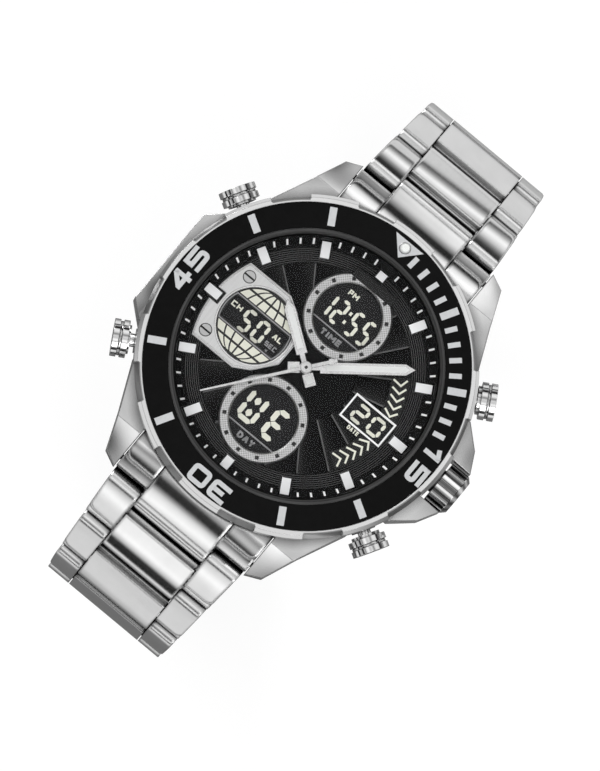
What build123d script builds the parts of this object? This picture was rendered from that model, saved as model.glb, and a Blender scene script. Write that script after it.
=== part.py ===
"""A steel wristwatch with hands and displays, closed on its bracelet and stood on its clasp.

Frame, in millimetres: X towards 3 o'clock, Y towards 12 o'clock, Z up out of the dial. The
origin lies under the middle of the dial, on the plane that the clasp rests on. Clock angles
run clockwise from 12 o'clock, in degrees.
"""
from build123d import *
from math import cos, radians, sin
import os

os.makedirs("parts", exist_ok=True)

# Bracelet: the pins' pitch and each link's slope below the level, from the case to the clasp
link_pitch = 7.5
link_tilts = [36, 51, 79, 100, 118, 134, 148, 162]
link_thickness = 2.9
link_gap = 0.1
centre_half_width = 5.95
side_inner_x = 6.1
link_half_widths = [11.0, 10.45, 10.0, 9.65, 9.4, 9.2, 9.1, 9.0, 9.0]
link_crown = 0.2
pad_setback = 0.9
pad_height = 0.45
pad_corner_radius = 1.1
centre_setback = 0.7
pin_radius = 0.6
pin_running_gap = 0.05
pin_seat_gap = 0.02
pin_setback = 0.5
tie_pin_radius = 0.45
tie_pin_place = 3.5
last_side_setback = 0.8

# Round the case: each radius is the one inside it and a wall or a gap
case_bore_radius = 18.0
collar_wall = 0.45
collar_radius = case_bore_radius + collar_wall
bezel_turning_gap = 0.05
bezel_inner_radius = collar_radius + bezel_turning_gap
insert_width = 3.45
bezel_seat_radius = bezel_inner_radius + insert_width
bezel_rim = 1.05
bezel_radius = bezel_seat_radius + bezel_rim
case_setback = 0.4
case_radius = bezel_radius - case_setback

# The first pin's place beside the case, and what follows from the links' slopes
pin_beyond_case = 4.6
lug_pin_y = case_radius + pin_beyond_case
clasp_pin_z = 2.2
lug_pin_z = clasp_pin_z + link_pitch * sum(sin(radians(tilt)) for tilt in link_tilts)
clasp_pin_y = lug_pin_y + link_pitch * sum(cos(radians(tilt)) for tilt in link_tilts)
knuckle_radius = link_thickness / 2

# Case: heights of its layers, from the case back up
pin_above_back = 4.0
back_thickness = 1.5
back_low_z = lug_pin_z - pin_above_back
back_setback = 1.7
back_radius = case_radius - back_setback
back_chamfer = 0.5
case_low_z = back_low_z + back_thickness
case_height = 7.4
case_high_z = case_low_z + case_height
collar_height = 3.75
collar_high_z = case_high_z + collar_height
crown_rise = 3.8
crown_z = case_low_z + crown_rise
guard_gap_half = 3.25
guard_reach = 3.4
guard_tip_x = case_radius + guard_reach
guard_knee_drop = 1.5
guard_knee_x, guard_knee_y = guard_tip_x - guard_knee_drop, 6.0
guard_root_sink = 1.1
guard_root_x, guard_root_y = case_radius - guard_root_sink, 8.6
inside_case_depth = 1.0
inside_case = case_bore_radius + inside_case_depth
left_side_reach = 0.9
left_side_x = case_radius + left_side_reach
left_side_y = 7.2
left_root_sink = 2.0
left_root_x, left_root_y = case_radius - left_root_sink, 9.7
lug_inner_x = 11.3
lug_root_y = 14.0
lug_tip_setback = 1.1
lug_tip_y = lug_pin_y - lug_tip_setback
lug_corner_cut = 1.05
lug_corner_x, lug_corner_y = 13.5, lug_tip_y - lug_corner_cut
lug_waist_setback = 2.6
lug_waist_x, lug_waist_y = 15.5, case_radius - lug_waist_setback
lug_base_sink = 4.1
lug_base_x, lug_base_y = case_radius - lug_base_sink, 13.4
lug_slope_setback = 1.8
lug_slope_y = case_radius - lug_slope_setback
lug_tip_drop = 3.3
lug_heel_length = 1.5
lug_heel_y, lug_heel_rise = lug_tip_y - lug_heel_length, 0.7
side_bevel_width = 1.0
side_bevel_x = case_radius - side_bevel_width
side_bevel_drop = 1.3
side_heel_setback = 0.2
side_heel_x, side_heel_rise = case_radius - side_heel_setback, 1.2
beyond_case = 2 * case_radius

# Seals, screws and tubes of the case
groove_wall, groove_width = 0.4, 0.6
groove_inner_radius = case_bore_radius + groove_wall
groove_outer_radius = groove_inner_radius + groove_width
groove_depth = 0.45
screw_count = 4
screw_turn = 45
screw_edge = 0.95
screw_circle = back_radius - screw_edge
screw_head_radius = 0.9
screw_head_depth = 0.75
screw_sink = 0.1
screw_shank_radius = 0.5
screw_length = 2.9
screw_slot_width, screw_slot_depth = 0.28, 0.3
tube_inner_setback = 0.05
tube_inner_end = case_bore_radius + tube_inner_setback
pusher_tube_reach = 0.35
pusher_tube_end = case_radius + pusher_tube_reach
pusher_tube_radius = 1.65
pusher_tube_bore = 0.96
crown_tube_reach = 1.9
crown_tube_end = case_radius + crown_tube_reach
crown_tube_radius = 1.8
crown_tube_bore = 0.95

# Turning bezel with its insert, pearl and click spring
bezel_gap = 0.15
bezel_seat_rise = 3.0
bezel_height = 3.75
bezel_low_z = case_high_z + bezel_gap
bezel_seat_z = bezel_low_z + bezel_seat_rise
bezel_high_z = bezel_low_z + bezel_height
bezel_low_chamfer = 0.4
bezel_shoulder_width = 0.45
bezel_shoulder_radius = bezel_radius - bezel_shoulder_width
bezel_shoulder_drop = 0.6
notch_count = 12
notch_arc = 13.5
notch_high_depth, notch_low_depth = 0.7, 0.1
notch_high_radius = bezel_radius - notch_high_depth
notch_low_radius = bezel_radius - notch_low_depth
notch_margin = 0.5
insert_inner_drop, insert_outer_drop = 0.02, 0.15
pearl_edge = 1.55
pearl_circle = bezel_seat_radius - pearl_edge
pearl_radius = 0.95
pearl_round = 0.3
spring_setback, spring_width = 1.0, 2.0
spring_inner_radius = bezel_inner_radius + spring_setback
spring_outer_radius = spring_inner_radius + spring_width
spring_thickness = 0.2
spring_groove_depth = 0.35
spring_groove_side = 0.1
spring_tabs = 3

# Inside the case, from the back up
clip_rise = 0.05
clip_thickness = 0.15
clip_low_z = case_low_z + clip_rise
clip_length, clip_width = 13.0, 2.4
clip_turn = 45
battery_x, battery_y = 5.0, -5.0
battery_radius = 4.75
battery_height = 2.0
battery_low_z = clip_low_z + clip_thickness
board_rise = 1.2
board_low_z = case_low_z + board_rise
board_thickness = 0.4
board_radius = 15.4
module_gap = 0.1
module_rise = 5.6
module_low_z = board_low_z + board_thickness + module_gap
module_high_z = case_low_z + module_rise
module_radius = 15.4
battery_side_gap = 0.15
arbor_hole_radius = 0.9
arbor_hole_depth = 1.2
stem_hole_radius = 0.7
stem_hole_start = 12.0
display_low_z = module_high_z
display_thickness = 0.9
display_hole_radius = 1.0
holder_side_gap, holder_width = 0.1, 2.1
holder_outer_radius = case_bore_radius - holder_side_gap
holder_inner_radius = holder_outer_radius - holder_width
holder_gap = 0.1
holder_low_z = case_low_z + holder_gap
holder_slot_radius = 1.7
contact_width = 1.6
contact_thickness = 0.12
contact_start = 15.55
contact_foot_start = 14.4
contact_rise = 5.0
contact_high_z = case_low_z + contact_rise

# Dial and what stands on it
dial_low_z = display_low_z + display_thickness
dial_thickness = 0.5
dial_high_z = dial_low_z + dial_thickness
dial_gap = 0.1
dial_radius = case_bore_radius - dial_gap
dial_hole_radius = 0.9
display_window_radius = 4.65
subdial_y = 8.8
subdial_inner_radius, subdial_outer_radius = 4.6, 6.0
subdial_thickness = 0.7
subdial_chamfer = 0.2
pit_count = 12
pit_circle = 5.27
pit_size = 0.5
pit_depth = 0.3
date_x = 10.8
date_length, date_height = 6.5, 3.7
seconds_x = -8.8
band_length, band_height = 9.2, 3.5
globe_radius = 5.1
globe_thickness = 0.25
plate_thickness = 0.6
plate_window_radius = 5.15
plate_left_radius = 15.9
plate_left_x = -14.55
plate_half_height = 6.2
plate_slant_x = -7.6
plate_nose_x, plate_nose_y = -5.4, 4.9
plate_right_x, plate_right_y = -3.0, 1.9
plate_notch_width, plate_notch_start = 1.9, 14.5
plate_screw_x, plate_screw_y = -13.5, 4.6
plate_screw_radius = 0.8
plate_screw_rise = 0.12
plate_screw_slot_width, plate_screw_slot_depth = 0.22, 0.1
ring_gap, ring_width = 0.05, 1.85
ring_outer_radius = case_bore_radius - ring_gap
ring_inner_radius = ring_outer_radius - ring_width
ring_land_rise = 0.5
ring_land_width, ring_slope_rise = 0.5, 0.6
ring_slope_start = ring_inner_radius + ring_land_width
ring_rim = 0.35
ring_slope_end = ring_outer_radius - ring_rim
marker_width = 1.6
marker_height = 0.8
marker_bevel = 0.2
marker_start, marker_end = 14.7, 17.3
marker_12_start, marker_12_end = 15.15, 16.65
marker_6_start, marker_6_end = 15.4, 17.4
marker_side_gap = 0.05
hour_step = 30
hours = 12

# Crystal and its seal
crystal_seat_depth = 1.55
crystal_low_z = collar_high_z - crystal_seat_depth
crystal_thickness = 1.85
crystal_seal_width = 0.2
crystal_radius = case_bore_radius - crystal_seal_width
crystal_chamfer = 0.35

# Hands: clock angles as the photograph shows them, blades and hubs
hour_angle, minute_angle, second_angle = 305.4, 51.6, 217.9
hand_foot_depth = 0.9
hand_foot_z = module_high_z - hand_foot_depth
hand_thickness = 0.2
hand_rise = 1.0
hand_step = 0.45
hour_hand_z = dial_high_z + hand_rise
minute_hand_z = hour_hand_z + hand_step
second_hand_z = minute_hand_z + hand_step
hour_length, minute_length, second_length = 9.5, 14.65, 14.5
hour_tail, minute_tail, second_tail = 2.6, 2.45, 4.3
blade_width = 1.5
tip_length = 1.3
neck_width = 0.7
neck_end = 1.9
hour_tube_radius, hour_tube_bore = 0.8, 0.56
minute_tube_radius, minute_tube_bore = 0.51, 0.31
second_arbor_radius = 0.26
hub_radius = 0.85
second_root_width, second_tip_width = 0.5, 0.25
blob_place, blob_radius = 3.5, 0.45
second_hub_radius = 0.75
second_hub_height = 0.35

# Crown at 3 o'clock
crown_angle = 90
crown_case_gap, crown_length = 0.7, 3.4
crown_start = case_radius + crown_case_gap
crown_end = crown_start + crown_length
crown_radius = 3.1
crown_cap_chamfer = 0.6
crown_cavity_radius = 1.95
crown_cap = 1.3
crown_cavity_end = crown_end - crown_cap
flute_count = 12
flute_radius = 0.55
flute_offset = 0.25
flute_place = crown_radius + flute_offset
stem_radius = 0.6
stem_setback = 0.7
stem_start, stem_end = 12.6, crown_end - stem_setback
seal_setback, seal_thickness = 0.35, 0.4
seal_end = crown_cavity_end - seal_setback
seal_start = seal_end - seal_thickness
seal_inner_radius, seal_outer_radius = 0.66, 1.88

# Pushers at 2, 4, 8 and 10 o'clock
pusher_hours = [2, 4, 8, 10]
pusher_stem_radius = 0.9
pusher_stem_reach = 1.35
pusher_stem_start = case_bore_radius - pusher_stem_reach
pusher_head_gap = 1.3
pusher_head_start = case_radius + pusher_head_gap
pusher_flange, pusher_groove = 0.8, 0.45
pusher_groove_start = pusher_head_start + pusher_flange
pusher_groove_end = pusher_groove_start + pusher_groove
pusher_head_end = pusher_groove_end + pusher_flange
pusher_head_radius = 2.55
pusher_groove_depth = 0.45
pusher_groove_radius = pusher_head_radius - pusher_groove_depth
clip_ring_gap, clip_ring_thickness = 0.4, 0.3
clip_ring_end = case_bore_radius - clip_ring_gap
clip_ring_start = clip_ring_end - clip_ring_thickness
clip_ring_radius = 1.4

# End links between the lugs, and the spring bars through them
end_link_half_width = 11.15
end_link_case_gap = 0.15
end_link_hollow_radius = case_radius + end_link_case_gap
end_link_end_y = lug_pin_y - knuckle_radius - link_gap
end_link_low_z = lug_pin_z - knuckle_radius
end_link_drop = 0.9
end_link_high_z = case_high_z - end_link_drop
end_link_slope_sink = 1.1
end_link_slope_y = case_radius - end_link_slope_sink
end_link_crown_setback, end_link_crown_drop = 2.7, 0.95
end_link_crown_y = lug_pin_y - end_link_crown_setback
end_link_crown_z = end_link_high_z - end_link_crown_drop
end_link_strip = 1.5
end_link_pad_end_y = end_link_end_y - end_link_strip
end_link_cut_depth = 0.4
end_link_groove_width = 0.16
bar_setback = 2.8
bar_y = lug_pin_y - bar_setback
bar_radius = 0.75
bar_tip_radius = 0.4
bar_shoulder = 10.9
bar_tip_end = 12.5

# Folding clasp
clasp_half_width = 9.0
cover_floor = 1.0
cover_free_y = -13.6
cover_floor_end = 14.2
cover_wall = 0.8
cover_wall_high = 2.9
cover_prong_start = 12.6
cover_corner_radius = 1.6
cover_edge_chamfer = 0.3
cover_hinge_y, cover_hinge_z = -11.8, 2.0
blade_pin_radius = 0.4
blade_thickness = 0.7
blade_knuckle_radius = 0.65
middle_half_width = 7.9
middle_low_z = 1.65
middle_plate_end = 9.95
middle_knuckle_inner_x = 4.0
middle_window_half_width, middle_window_half_length = 3.0, 5.5
fold_hinge_y, fold_hinge_z = 10.9, 2.55
fold_knuckle_radius = 0.75
inner_half_width = 7.4
inner_low_z = 2.75
inner_free_y = -13.85
inner_plate_end = 9.9
inner_tongue_half_width = 3.9
inner_prong_inner_x = 6.15
inner_prong_radius = 1.2
inner_prong_neck_start, inner_prong_neck_low = -12.6, 2.3
inner_window_half_width, inner_window_half_length = 3.4, 6.5
clasp_bar_radius = 0.6


def direction_at(clock_angle):
    """The level direction that a clock angle points in."""
    return Vector(sin(radians(clock_angle)), cos(radians(clock_angle)), 0)


def radial_plane(clock_angle, radius):
    """A plane square to a radius of the dial, facing outwards at the crown's height."""
    outward = direction_at(clock_angle)
    return Plane(origin=outward * radius + Vector(0, 0, crown_z), x_dir=(0, 0, 1), z_dir=outward)


def turned(clock_angle, steps):
    """Discs stacked along a radius of the dial: each step is its start, end and radius."""
    with BuildPart() as piece:
        for start, end, radius in steps:
            with BuildSketch(radial_plane(clock_angle, start)):
                Circle(radius)
            extrude(amount=end - start)
    return piece


def cut_radial_hole(clock_angle, start, end, radius):
    """Cut a round hole along a radius of the dial into the piece being built."""
    with BuildSketch(radial_plane(clock_angle, start)) as hole:
        Circle(radius)
    extrude(hole.sketch, amount=end - start, mode=Mode.SUBTRACT)


def across(profile_x, profile_z, length, height):
    """A rectangle given by its lower left corner, its length and its height."""
    with Locations((profile_x, profile_z)):
        Rectangle(length, height, align=(Align.MIN, Align.MIN))


# Case middle: a round body with four lugs, crown guards and a straight left side
with BuildPart() as case_middle:
    with BuildSketch(Plane.XY.offset(case_low_z)):
        with BuildLine():
            Polyline(
                (lug_inner_x, lug_root_y),
                (lug_inner_x, lug_tip_y),
                (lug_corner_x, lug_corner_y),
                (lug_waist_x, lug_waist_y),
                (lug_base_x, lug_base_y),
                close=True,
            )
        make_face()
        mirror(about=Plane.YZ)
        with BuildLine():
            Polyline(
                (inside_case, guard_gap_half),
                (guard_tip_x, guard_gap_half),
                (guard_knee_x, guard_knee_y),
                (guard_root_x, guard_root_y),
                (inside_case, guard_root_y),
                close=True,
            )
        make_face()
        with BuildLine():
            Polyline(
                (-inside_case, 0),
                (-left_side_x, 0),
                (-left_side_x, left_side_y),
                (-left_root_x, left_root_y),
                (-inside_case, left_root_y),
                close=True,
            )
        make_face()
        mirror(about=Plane.XZ)
        Circle(case_radius)
    extrude(amount=case_high_z - case_low_z)
    with BuildSketch(Plane.YZ):
        with BuildLine():
            Polyline(
                (0, case_low_z),
                (lug_heel_y, case_low_z),
                (lug_tip_y, case_low_z + lug_heel_rise),
                (lug_tip_y, case_high_z - lug_tip_drop),
                (lug_slope_y, case_high_z),
                (0, case_high_z),
                close=True,
            )
        make_face()
        mirror(about=Plane.YZ)
    extrude(amount=beyond_case, both=True, mode=Mode.INTERSECT)
    with BuildSketch(Plane.XZ):
        with BuildLine():
            Polyline(
                (0, case_low_z),
                (side_heel_x, case_low_z),
                (guard_tip_x, case_low_z + side_heel_rise),
                (guard_tip_x, case_high_z - side_bevel_drop),
                (side_bevel_x, case_high_z),
                (0, case_high_z),
                close=True,
            )
        make_face()
        mirror(about=Plane.YZ)
    extrude(amount=beyond_case, both=True, mode=Mode.INTERSECT)
    with BuildSketch(Plane.XY.offset(case_high_z)):
        Circle(collar_radius)
    extrude(amount=collar_high_z - case_high_z)
    with BuildSketch(Plane.XY.offset(case_low_z)):
        Circle(case_bore_radius)
    extrude(amount=collar_high_z - case_low_z, mode=Mode.SUBTRACT)
    with BuildSketch(Plane.XY.offset(case_high_z - spring_groove_depth)):
        Circle(spring_outer_radius + spring_groove_side)
        Circle(spring_inner_radius - spring_groove_side, mode=Mode.SUBTRACT)
    extrude(amount=spring_groove_depth, mode=Mode.SUBTRACT)
    with BuildSketch(Plane.XY.offset(case_low_z)):
        Circle(groove_outer_radius)
        Circle(groove_inner_radius, mode=Mode.SUBTRACT)
    extrude(amount=groove_depth, mode=Mode.SUBTRACT)
    with BuildSketch(Plane.XY.offset(case_low_z)):
        with PolarLocations(screw_circle, screw_count, start_angle=screw_turn):
            Circle(screw_shank_radius)
    extrude(amount=screw_length - back_thickness, mode=Mode.SUBTRACT)
    for hour in pusher_hours:
        cut_radial_hole(hour * hour_step, 0, beyond_case, pusher_tube_radius)
    cut_radial_hole(crown_angle, 0, beyond_case, crown_tube_radius)
    for end in (-1, 1):
        with BuildSketch(Plane.YZ):
            with Locations((end * bar_y, lug_pin_z)):
                Circle(bar_tip_radius)
        extrude(amount=bar_tip_end, both=True, mode=Mode.SUBTRACT)
case_middle.part.label = "case_middle"
export_step(case_middle.part, "parts/case_middle.step")

# Case back, its seal and its screws
with BuildPart() as case_back:
    with BuildSketch(Plane.XY.offset(back_low_z)):
        Circle(back_radius)
    extrude(amount=back_thickness)
    chamfer(case_back.edges().group_by(Axis.Z)[0], length=back_chamfer)
    with BuildSketch(Plane.XY.offset(back_low_z)):
        with PolarLocations(screw_circle, screw_count, start_angle=screw_turn):
            Circle(screw_shank_radius)
    extrude(amount=back_thickness, mode=Mode.SUBTRACT)
    with BuildSketch(Plane.XY.offset(back_low_z)):
        with PolarLocations(screw_circle, screw_count, start_angle=screw_turn):
            Circle(screw_head_radius)
    extrude(amount=screw_head_depth + screw_sink, mode=Mode.SUBTRACT)
case_back.part.label = "case_back"
export_step(case_back.part, "parts/case_back.step")

with BuildPart() as case_back_gasket:
    with BuildSketch(Plane.XY.offset(case_low_z)):
        Circle(groove_outer_radius)
        Circle(groove_inner_radius, mode=Mode.SUBTRACT)
    extrude(amount=groove_depth)
case_back_gasket.part.label = "case_back_gasket"
export_step(case_back_gasket.part, "parts/case_back_gasket.step")

with BuildPart() as case_back_screws:
    with BuildSketch(Plane.XY.offset(back_low_z + screw_sink)):
        with PolarLocations(screw_circle, screw_count, start_angle=screw_turn):
            Circle(screw_head_radius)
    extrude(amount=screw_head_depth)
    with BuildSketch(Plane.XY.offset(back_low_z + screw_sink)):
        with PolarLocations(screw_circle, screw_count, start_angle=screw_turn):
            Circle(screw_shank_radius)
    extrude(amount=screw_length - screw_sink)
    with BuildSketch(Plane.XY.offset(back_low_z + screw_sink)):
        with PolarLocations(screw_circle, screw_count, start_angle=screw_turn):
            Rectangle(2 * screw_head_radius, screw_slot_width)
    extrude(amount=screw_slot_depth, mode=Mode.SUBTRACT)
case_back_screws.part.label = "case_back_screws"
export_step(case_back_screws.part, "parts/case_back_screws.step")

# Tubes pressed into the case for the four pushers and the crown
with BuildPart() as case_tubes:
    for hour in pusher_hours:
        with BuildSketch(radial_plane(hour * hour_step, tube_inner_end)):
            Circle(pusher_tube_radius)
            Circle(pusher_tube_bore, mode=Mode.SUBTRACT)
        extrude(amount=pusher_tube_end - tube_inner_end)
    with BuildSketch(radial_plane(crown_angle, tube_inner_end)):
        Circle(crown_tube_radius)
        Circle(crown_tube_bore, mode=Mode.SUBTRACT)
    extrude(amount=crown_tube_end - tube_inner_end)
case_tubes.part.label = "case_tubes"
export_step(case_tubes.part, "parts/case_tubes.step")

# Turning bezel: a ring with a seat for the insert and twelve slanted finger notches
with BuildPart() as notch_cutter:
    with BuildSketch(Plane.XZ):
        with BuildLine():
            Polyline(
                (notch_high_radius, bezel_high_z + notch_margin),
                (bezel_radius + notch_margin, bezel_high_z + notch_margin),
                (bezel_radius + notch_margin, bezel_low_z - notch_margin),
                (notch_low_radius, bezel_low_z - notch_margin),
                close=True,
            )
        make_face()
    revolve(axis=Axis.Z, revolution_arc=notch_arc)

with BuildPart() as bezel_ring:
    with BuildSketch(Plane.XZ):
        with BuildLine():
            Polyline(
                (bezel_inner_radius, bezel_low_z),
                (bezel_radius - bezel_low_chamfer, bezel_low_z),
                (bezel_radius, bezel_low_z + bezel_low_chamfer),
                (bezel_radius, bezel_high_z - bezel_shoulder_drop),
                (bezel_shoulder_radius, bezel_high_z),
                (bezel_seat_radius, bezel_high_z),
                (bezel_seat_radius, bezel_seat_z),
                (bezel_inner_radius, bezel_seat_z),
                close=True,
            )
        make_face()
    revolve(axis=Axis.Z)
    with PolarLocations(0, notch_count, start_angle=(hour_step - notch_arc) / 2):
        add(notch_cutter.part, mode=Mode.SUBTRACT)
bezel_ring.part.label = "bezel_ring"
export_step(bezel_ring.part, "parts/bezel_ring.step")

with BuildPart() as bezel_insert:
    with BuildSketch(Plane.XZ):
        with BuildLine():
            Polyline(
                (bezel_inner_radius, bezel_seat_z),
                (bezel_seat_radius, bezel_seat_z),
                (bezel_seat_radius, bezel_high_z - insert_outer_drop),
                (bezel_inner_radius, bezel_high_z - insert_inner_drop),
                close=True,
            )
        make_face()
    revolve(axis=Axis.Z)
    with BuildSketch(Plane.XY.offset(bezel_seat_z)):
        with Locations((0, pearl_circle)):
            Circle(pearl_radius)
    extrude(amount=bezel_high_z - bezel_seat_z, mode=Mode.SUBTRACT)
bezel_insert.part.label = "bezel_insert"
export_step(bezel_insert.part, "parts/bezel_insert.step")

with BuildPart() as bezel_pearl:
    with BuildSketch(Plane.XY.offset(bezel_seat_z)):
        with Locations((0, pearl_circle)):
            Circle(pearl_radius)
    extrude(amount=bezel_high_z - bezel_seat_z)
    fillet(bezel_pearl.edges().group_by(Axis.Z)[-1], radius=pearl_round)
bezel_pearl.part.label = "bezel_pearl"
export_step(bezel_pearl.part, "parts/bezel_pearl.step")

with BuildPart() as bezel_click_spring:
    with BuildSketch(Plane.XY.offset(case_high_z - spring_groove_depth)):
        Circle(spring_outer_radius)
        Circle(spring_inner_radius, mode=Mode.SUBTRACT)
        with PolarLocations((spring_inner_radius + spring_outer_radius) / 2, spring_tabs):
            Rectangle(
                spring_outer_radius - spring_inner_radius + 2 * spring_groove_side,
                spring_groove_side,
                mode=Mode.SUBTRACT,
            )
    extrude(amount=spring_thickness)
bezel_click_spring.part.label = "bezel_click_spring"
export_step(bezel_click_spring.part, "parts/bezel_click_spring.step")

# Crystal in its seal
with BuildPart() as crystal:
    with BuildSketch(Plane.XY.offset(crystal_low_z)):
        Circle(crystal_radius)
    extrude(amount=crystal_thickness)
    chamfer(crystal.edges().group_by(Axis.Z)[-1], length=crystal_chamfer)
crystal.part.label = "crystal"
export_step(crystal.part, "parts/crystal.step")

with BuildPart() as crystal_gasket:
    with BuildSketch(Plane.XY.offset(crystal_low_z)):
        Circle(case_bore_radius)
        Circle(crystal_radius, mode=Mode.SUBTRACT)
    extrude(amount=collar_high_z - crystal_low_z)
crystal_gasket.part.label = "crystal_gasket"
export_step(crystal_gasket.part, "parts/crystal_gasket.step")

# Module, its board, battery and clip, and the holder round them
with BuildPart() as movement:
    with BuildSketch(Plane.XY.offset(module_low_z)):
        Circle(module_radius)
    extrude(amount=module_high_z - module_low_z)
    with BuildSketch(Plane.XY.offset(module_low_z)):
        with Locations((battery_x, battery_y)):
            Circle(battery_radius + battery_side_gap)
    extrude(amount=battery_low_z + battery_height - module_low_z, mode=Mode.SUBTRACT)
    with BuildSketch(Plane.XY.offset(module_high_z - arbor_hole_depth)):
        Circle(arbor_hole_radius)
    extrude(amount=arbor_hole_depth, mode=Mode.SUBTRACT)
    cut_radial_hole(crown_angle, stem_hole_start, module_radius, stem_hole_radius)
movement.part.label = "movement"
export_step(movement.part, "parts/movement.step")

with BuildPart() as circuit_board:
    with BuildSketch(Plane.XY.offset(board_low_z)):
        Circle(board_radius)
        with Locations((battery_x, battery_y)):
            Circle(battery_radius + battery_side_gap, mode=Mode.SUBTRACT)
    extrude(amount=board_thickness)
circuit_board.part.label = "circuit_board"
export_step(circuit_board.part, "parts/circuit_board.step")

with BuildPart() as battery:
    with BuildSketch(Plane.XY.offset(battery_low_z)):
        with Locations((battery_x, battery_y)):
            Circle(battery_radius)
    extrude(amount=battery_height)
battery.part.label = "battery"
export_step(battery.part, "parts/battery.step")

with BuildPart() as battery_clip:
    with BuildSketch(Plane.XY.offset(clip_low_z)):
        with Locations((battery_x, battery_y)):
            Rectangle(clip_length, clip_width, rotation=clip_turn)
    extrude(amount=clip_thickness)
    with BuildSketch(Plane.XY.offset(clip_low_z)):
        with Locations((battery_x, battery_y)):
            with Locations(Rotation(0, 0, clip_turn)):
                with Locations((clip_length / 2, 0), (-clip_length / 2, 0)):
                    Rectangle(clip_width / 2, clip_width)
    extrude(amount=board_low_z - clip_low_z)
battery_clip.part.label = "battery_clip"
export_step(battery_clip.part, "parts/battery_clip.step")

with BuildPart() as movement_holder:
    with BuildSketch(Plane.XY.offset(holder_low_z)):
        Circle(holder_outer_radius)
        Circle(holder_inner_radius, mode=Mode.SUBTRACT)
    extrude(amount=dial_low_z - holder_low_z)
    for hour in pusher_hours:
        cut_radial_hole(hour * hour_step, contact_start, holder_outer_radius, holder_slot_radius)
    cut_radial_hole(crown_angle, contact_start, holder_outer_radius, holder_slot_radius)
movement_holder.part.label = "movement_holder"
export_step(movement_holder.part, "parts/movement_holder.step")

# Contact springs: a foot between board and module, and a blade that each pusher meets
with BuildPart() as contact_springs:
    for hour in pusher_hours:
        outward = direction_at(hour * hour_step)
        foot = Plane(origin=(0, 0, board_low_z + board_thickness), x_dir=outward, z_dir=(0, 0, 1))
        with BuildSketch(foot):
            with Locations((contact_foot_start, 0)):
                Rectangle(
                    contact_start + contact_thickness - contact_foot_start,
                    contact_width,
                    align=(Align.MIN, Align.CENTER),
                )
        extrude(amount=module_low_z - board_low_z - board_thickness)
        with BuildSketch(foot):
            with Locations((contact_start, 0)):
                Rectangle(contact_thickness, contact_width, align=(Align.MIN, Align.CENTER))
        extrude(amount=contact_high_z - board_low_z - board_thickness)
contact_springs.part.label = "contact_springs"
export_step(contact_springs.part, "parts/contact_springs.step")

# Display glass under the dial, with a hole for the hands' arbors
with BuildPart() as display_glass:
    with BuildSketch(Plane.XY.offset(display_low_z)):
        Circle(module_radius)
        Circle(display_hole_radius, mode=Mode.SUBTRACT)
    extrude(amount=display_thickness)
display_glass.part.label = "display_glass"
export_step(display_glass.part, "parts/display_glass.step")

# Dial with four display windows
with BuildPart() as dial_plate:
    with BuildSketch(Plane.XY.offset(dial_low_z)):
        Circle(dial_radius)
        Circle(dial_hole_radius, mode=Mode.SUBTRACT)
        with Locations((0, subdial_y), (0, -subdial_y)):
            Circle(display_window_radius, mode=Mode.SUBTRACT)
        with Locations((date_x, 0)):
            Rectangle(date_length, date_height, mode=Mode.SUBTRACT)
        with Locations((seconds_x, 0)):
            Rectangle(band_length, band_height, mode=Mode.SUBTRACT)
    extrude(amount=dial_thickness)
dial_plate.part.label = "dial_plate"
export_step(dial_plate.part, "parts/dial_plate.step")


# Silver rings round the two display windows, each with twelve square pits
with BuildPart() as subdial_rings:
    with BuildSketch(Plane.XY.offset(dial_high_z)):
        with Locations((0, subdial_y), (0, -subdial_y)):
            Circle(subdial_outer_radius)
            Circle(subdial_inner_radius, mode=Mode.SUBTRACT)
    extrude(amount=subdial_thickness)
    chamfer(subdial_rings.edges().group_by(Axis.Z)[-1], length=subdial_chamfer)
    with BuildSketch(Plane.XY.offset(dial_high_z + subdial_thickness - pit_depth)):
        with Locations((0, subdial_y), (0, -subdial_y)):
            with PolarLocations(pit_circle, pit_count):
                Rectangle(pit_size, pit_size)
    extrude(amount=pit_depth, mode=Mode.SUBTRACT)
subdial_rings.part.label = "subdial_rings"
export_step(subdial_rings.part, "parts/subdial_rings.step")

# Seconds plate at 9 o'clock, the globe disc in its window and its two screws
with BuildPart() as seconds_plate:
    with BuildSketch(Plane.XY.offset(dial_high_z)):
        with BuildLine():
            ThreePointArc(
                (plate_left_x, plate_half_height),
                (-plate_left_radius, 0),
                (plate_left_x, -plate_half_height),
            )
            Polyline(
                (plate_left_x, -plate_half_height),
                (plate_slant_x, -plate_half_height),
                (plate_nose_x, -plate_nose_y),
                (plate_right_x, -plate_right_y),
                (plate_right_x, plate_right_y),
                (plate_nose_x, plate_nose_y),
                (plate_slant_x, plate_half_height),
                (plate_left_x, plate_half_height),
            )
        make_face()
        with Locations((seconds_x, 0)):
            Circle(plate_window_radius, mode=Mode.SUBTRACT)
        with Locations((-plate_notch_start, 0)):
            Rectangle(
                plate_left_radius - plate_notch_start + marker_width,
                plate_notch_width,
                align=(Align.MAX, Align.CENTER),
                mode=Mode.SUBTRACT,
            )
        with Locations((plate_screw_x, plate_screw_y), (plate_screw_x, -plate_screw_y)):
            Circle(plate_screw_radius, mode=Mode.SUBTRACT)
    extrude(amount=plate_thickness)
seconds_plate.part.label = "seconds_plate"
export_step(seconds_plate.part, "parts/seconds_plate.step")

with BuildPart() as globe_disc:
    with BuildSketch(Plane.XY.offset(dial_high_z)):
        with Locations((seconds_x, 0)):
            Circle(globe_radius)
            Rectangle(band_length, band_height, mode=Mode.SUBTRACT)
    extrude(amount=globe_thickness)
globe_disc.part.label = "globe_disc"
export_step(globe_disc.part, "parts/globe_disc.step")

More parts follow.
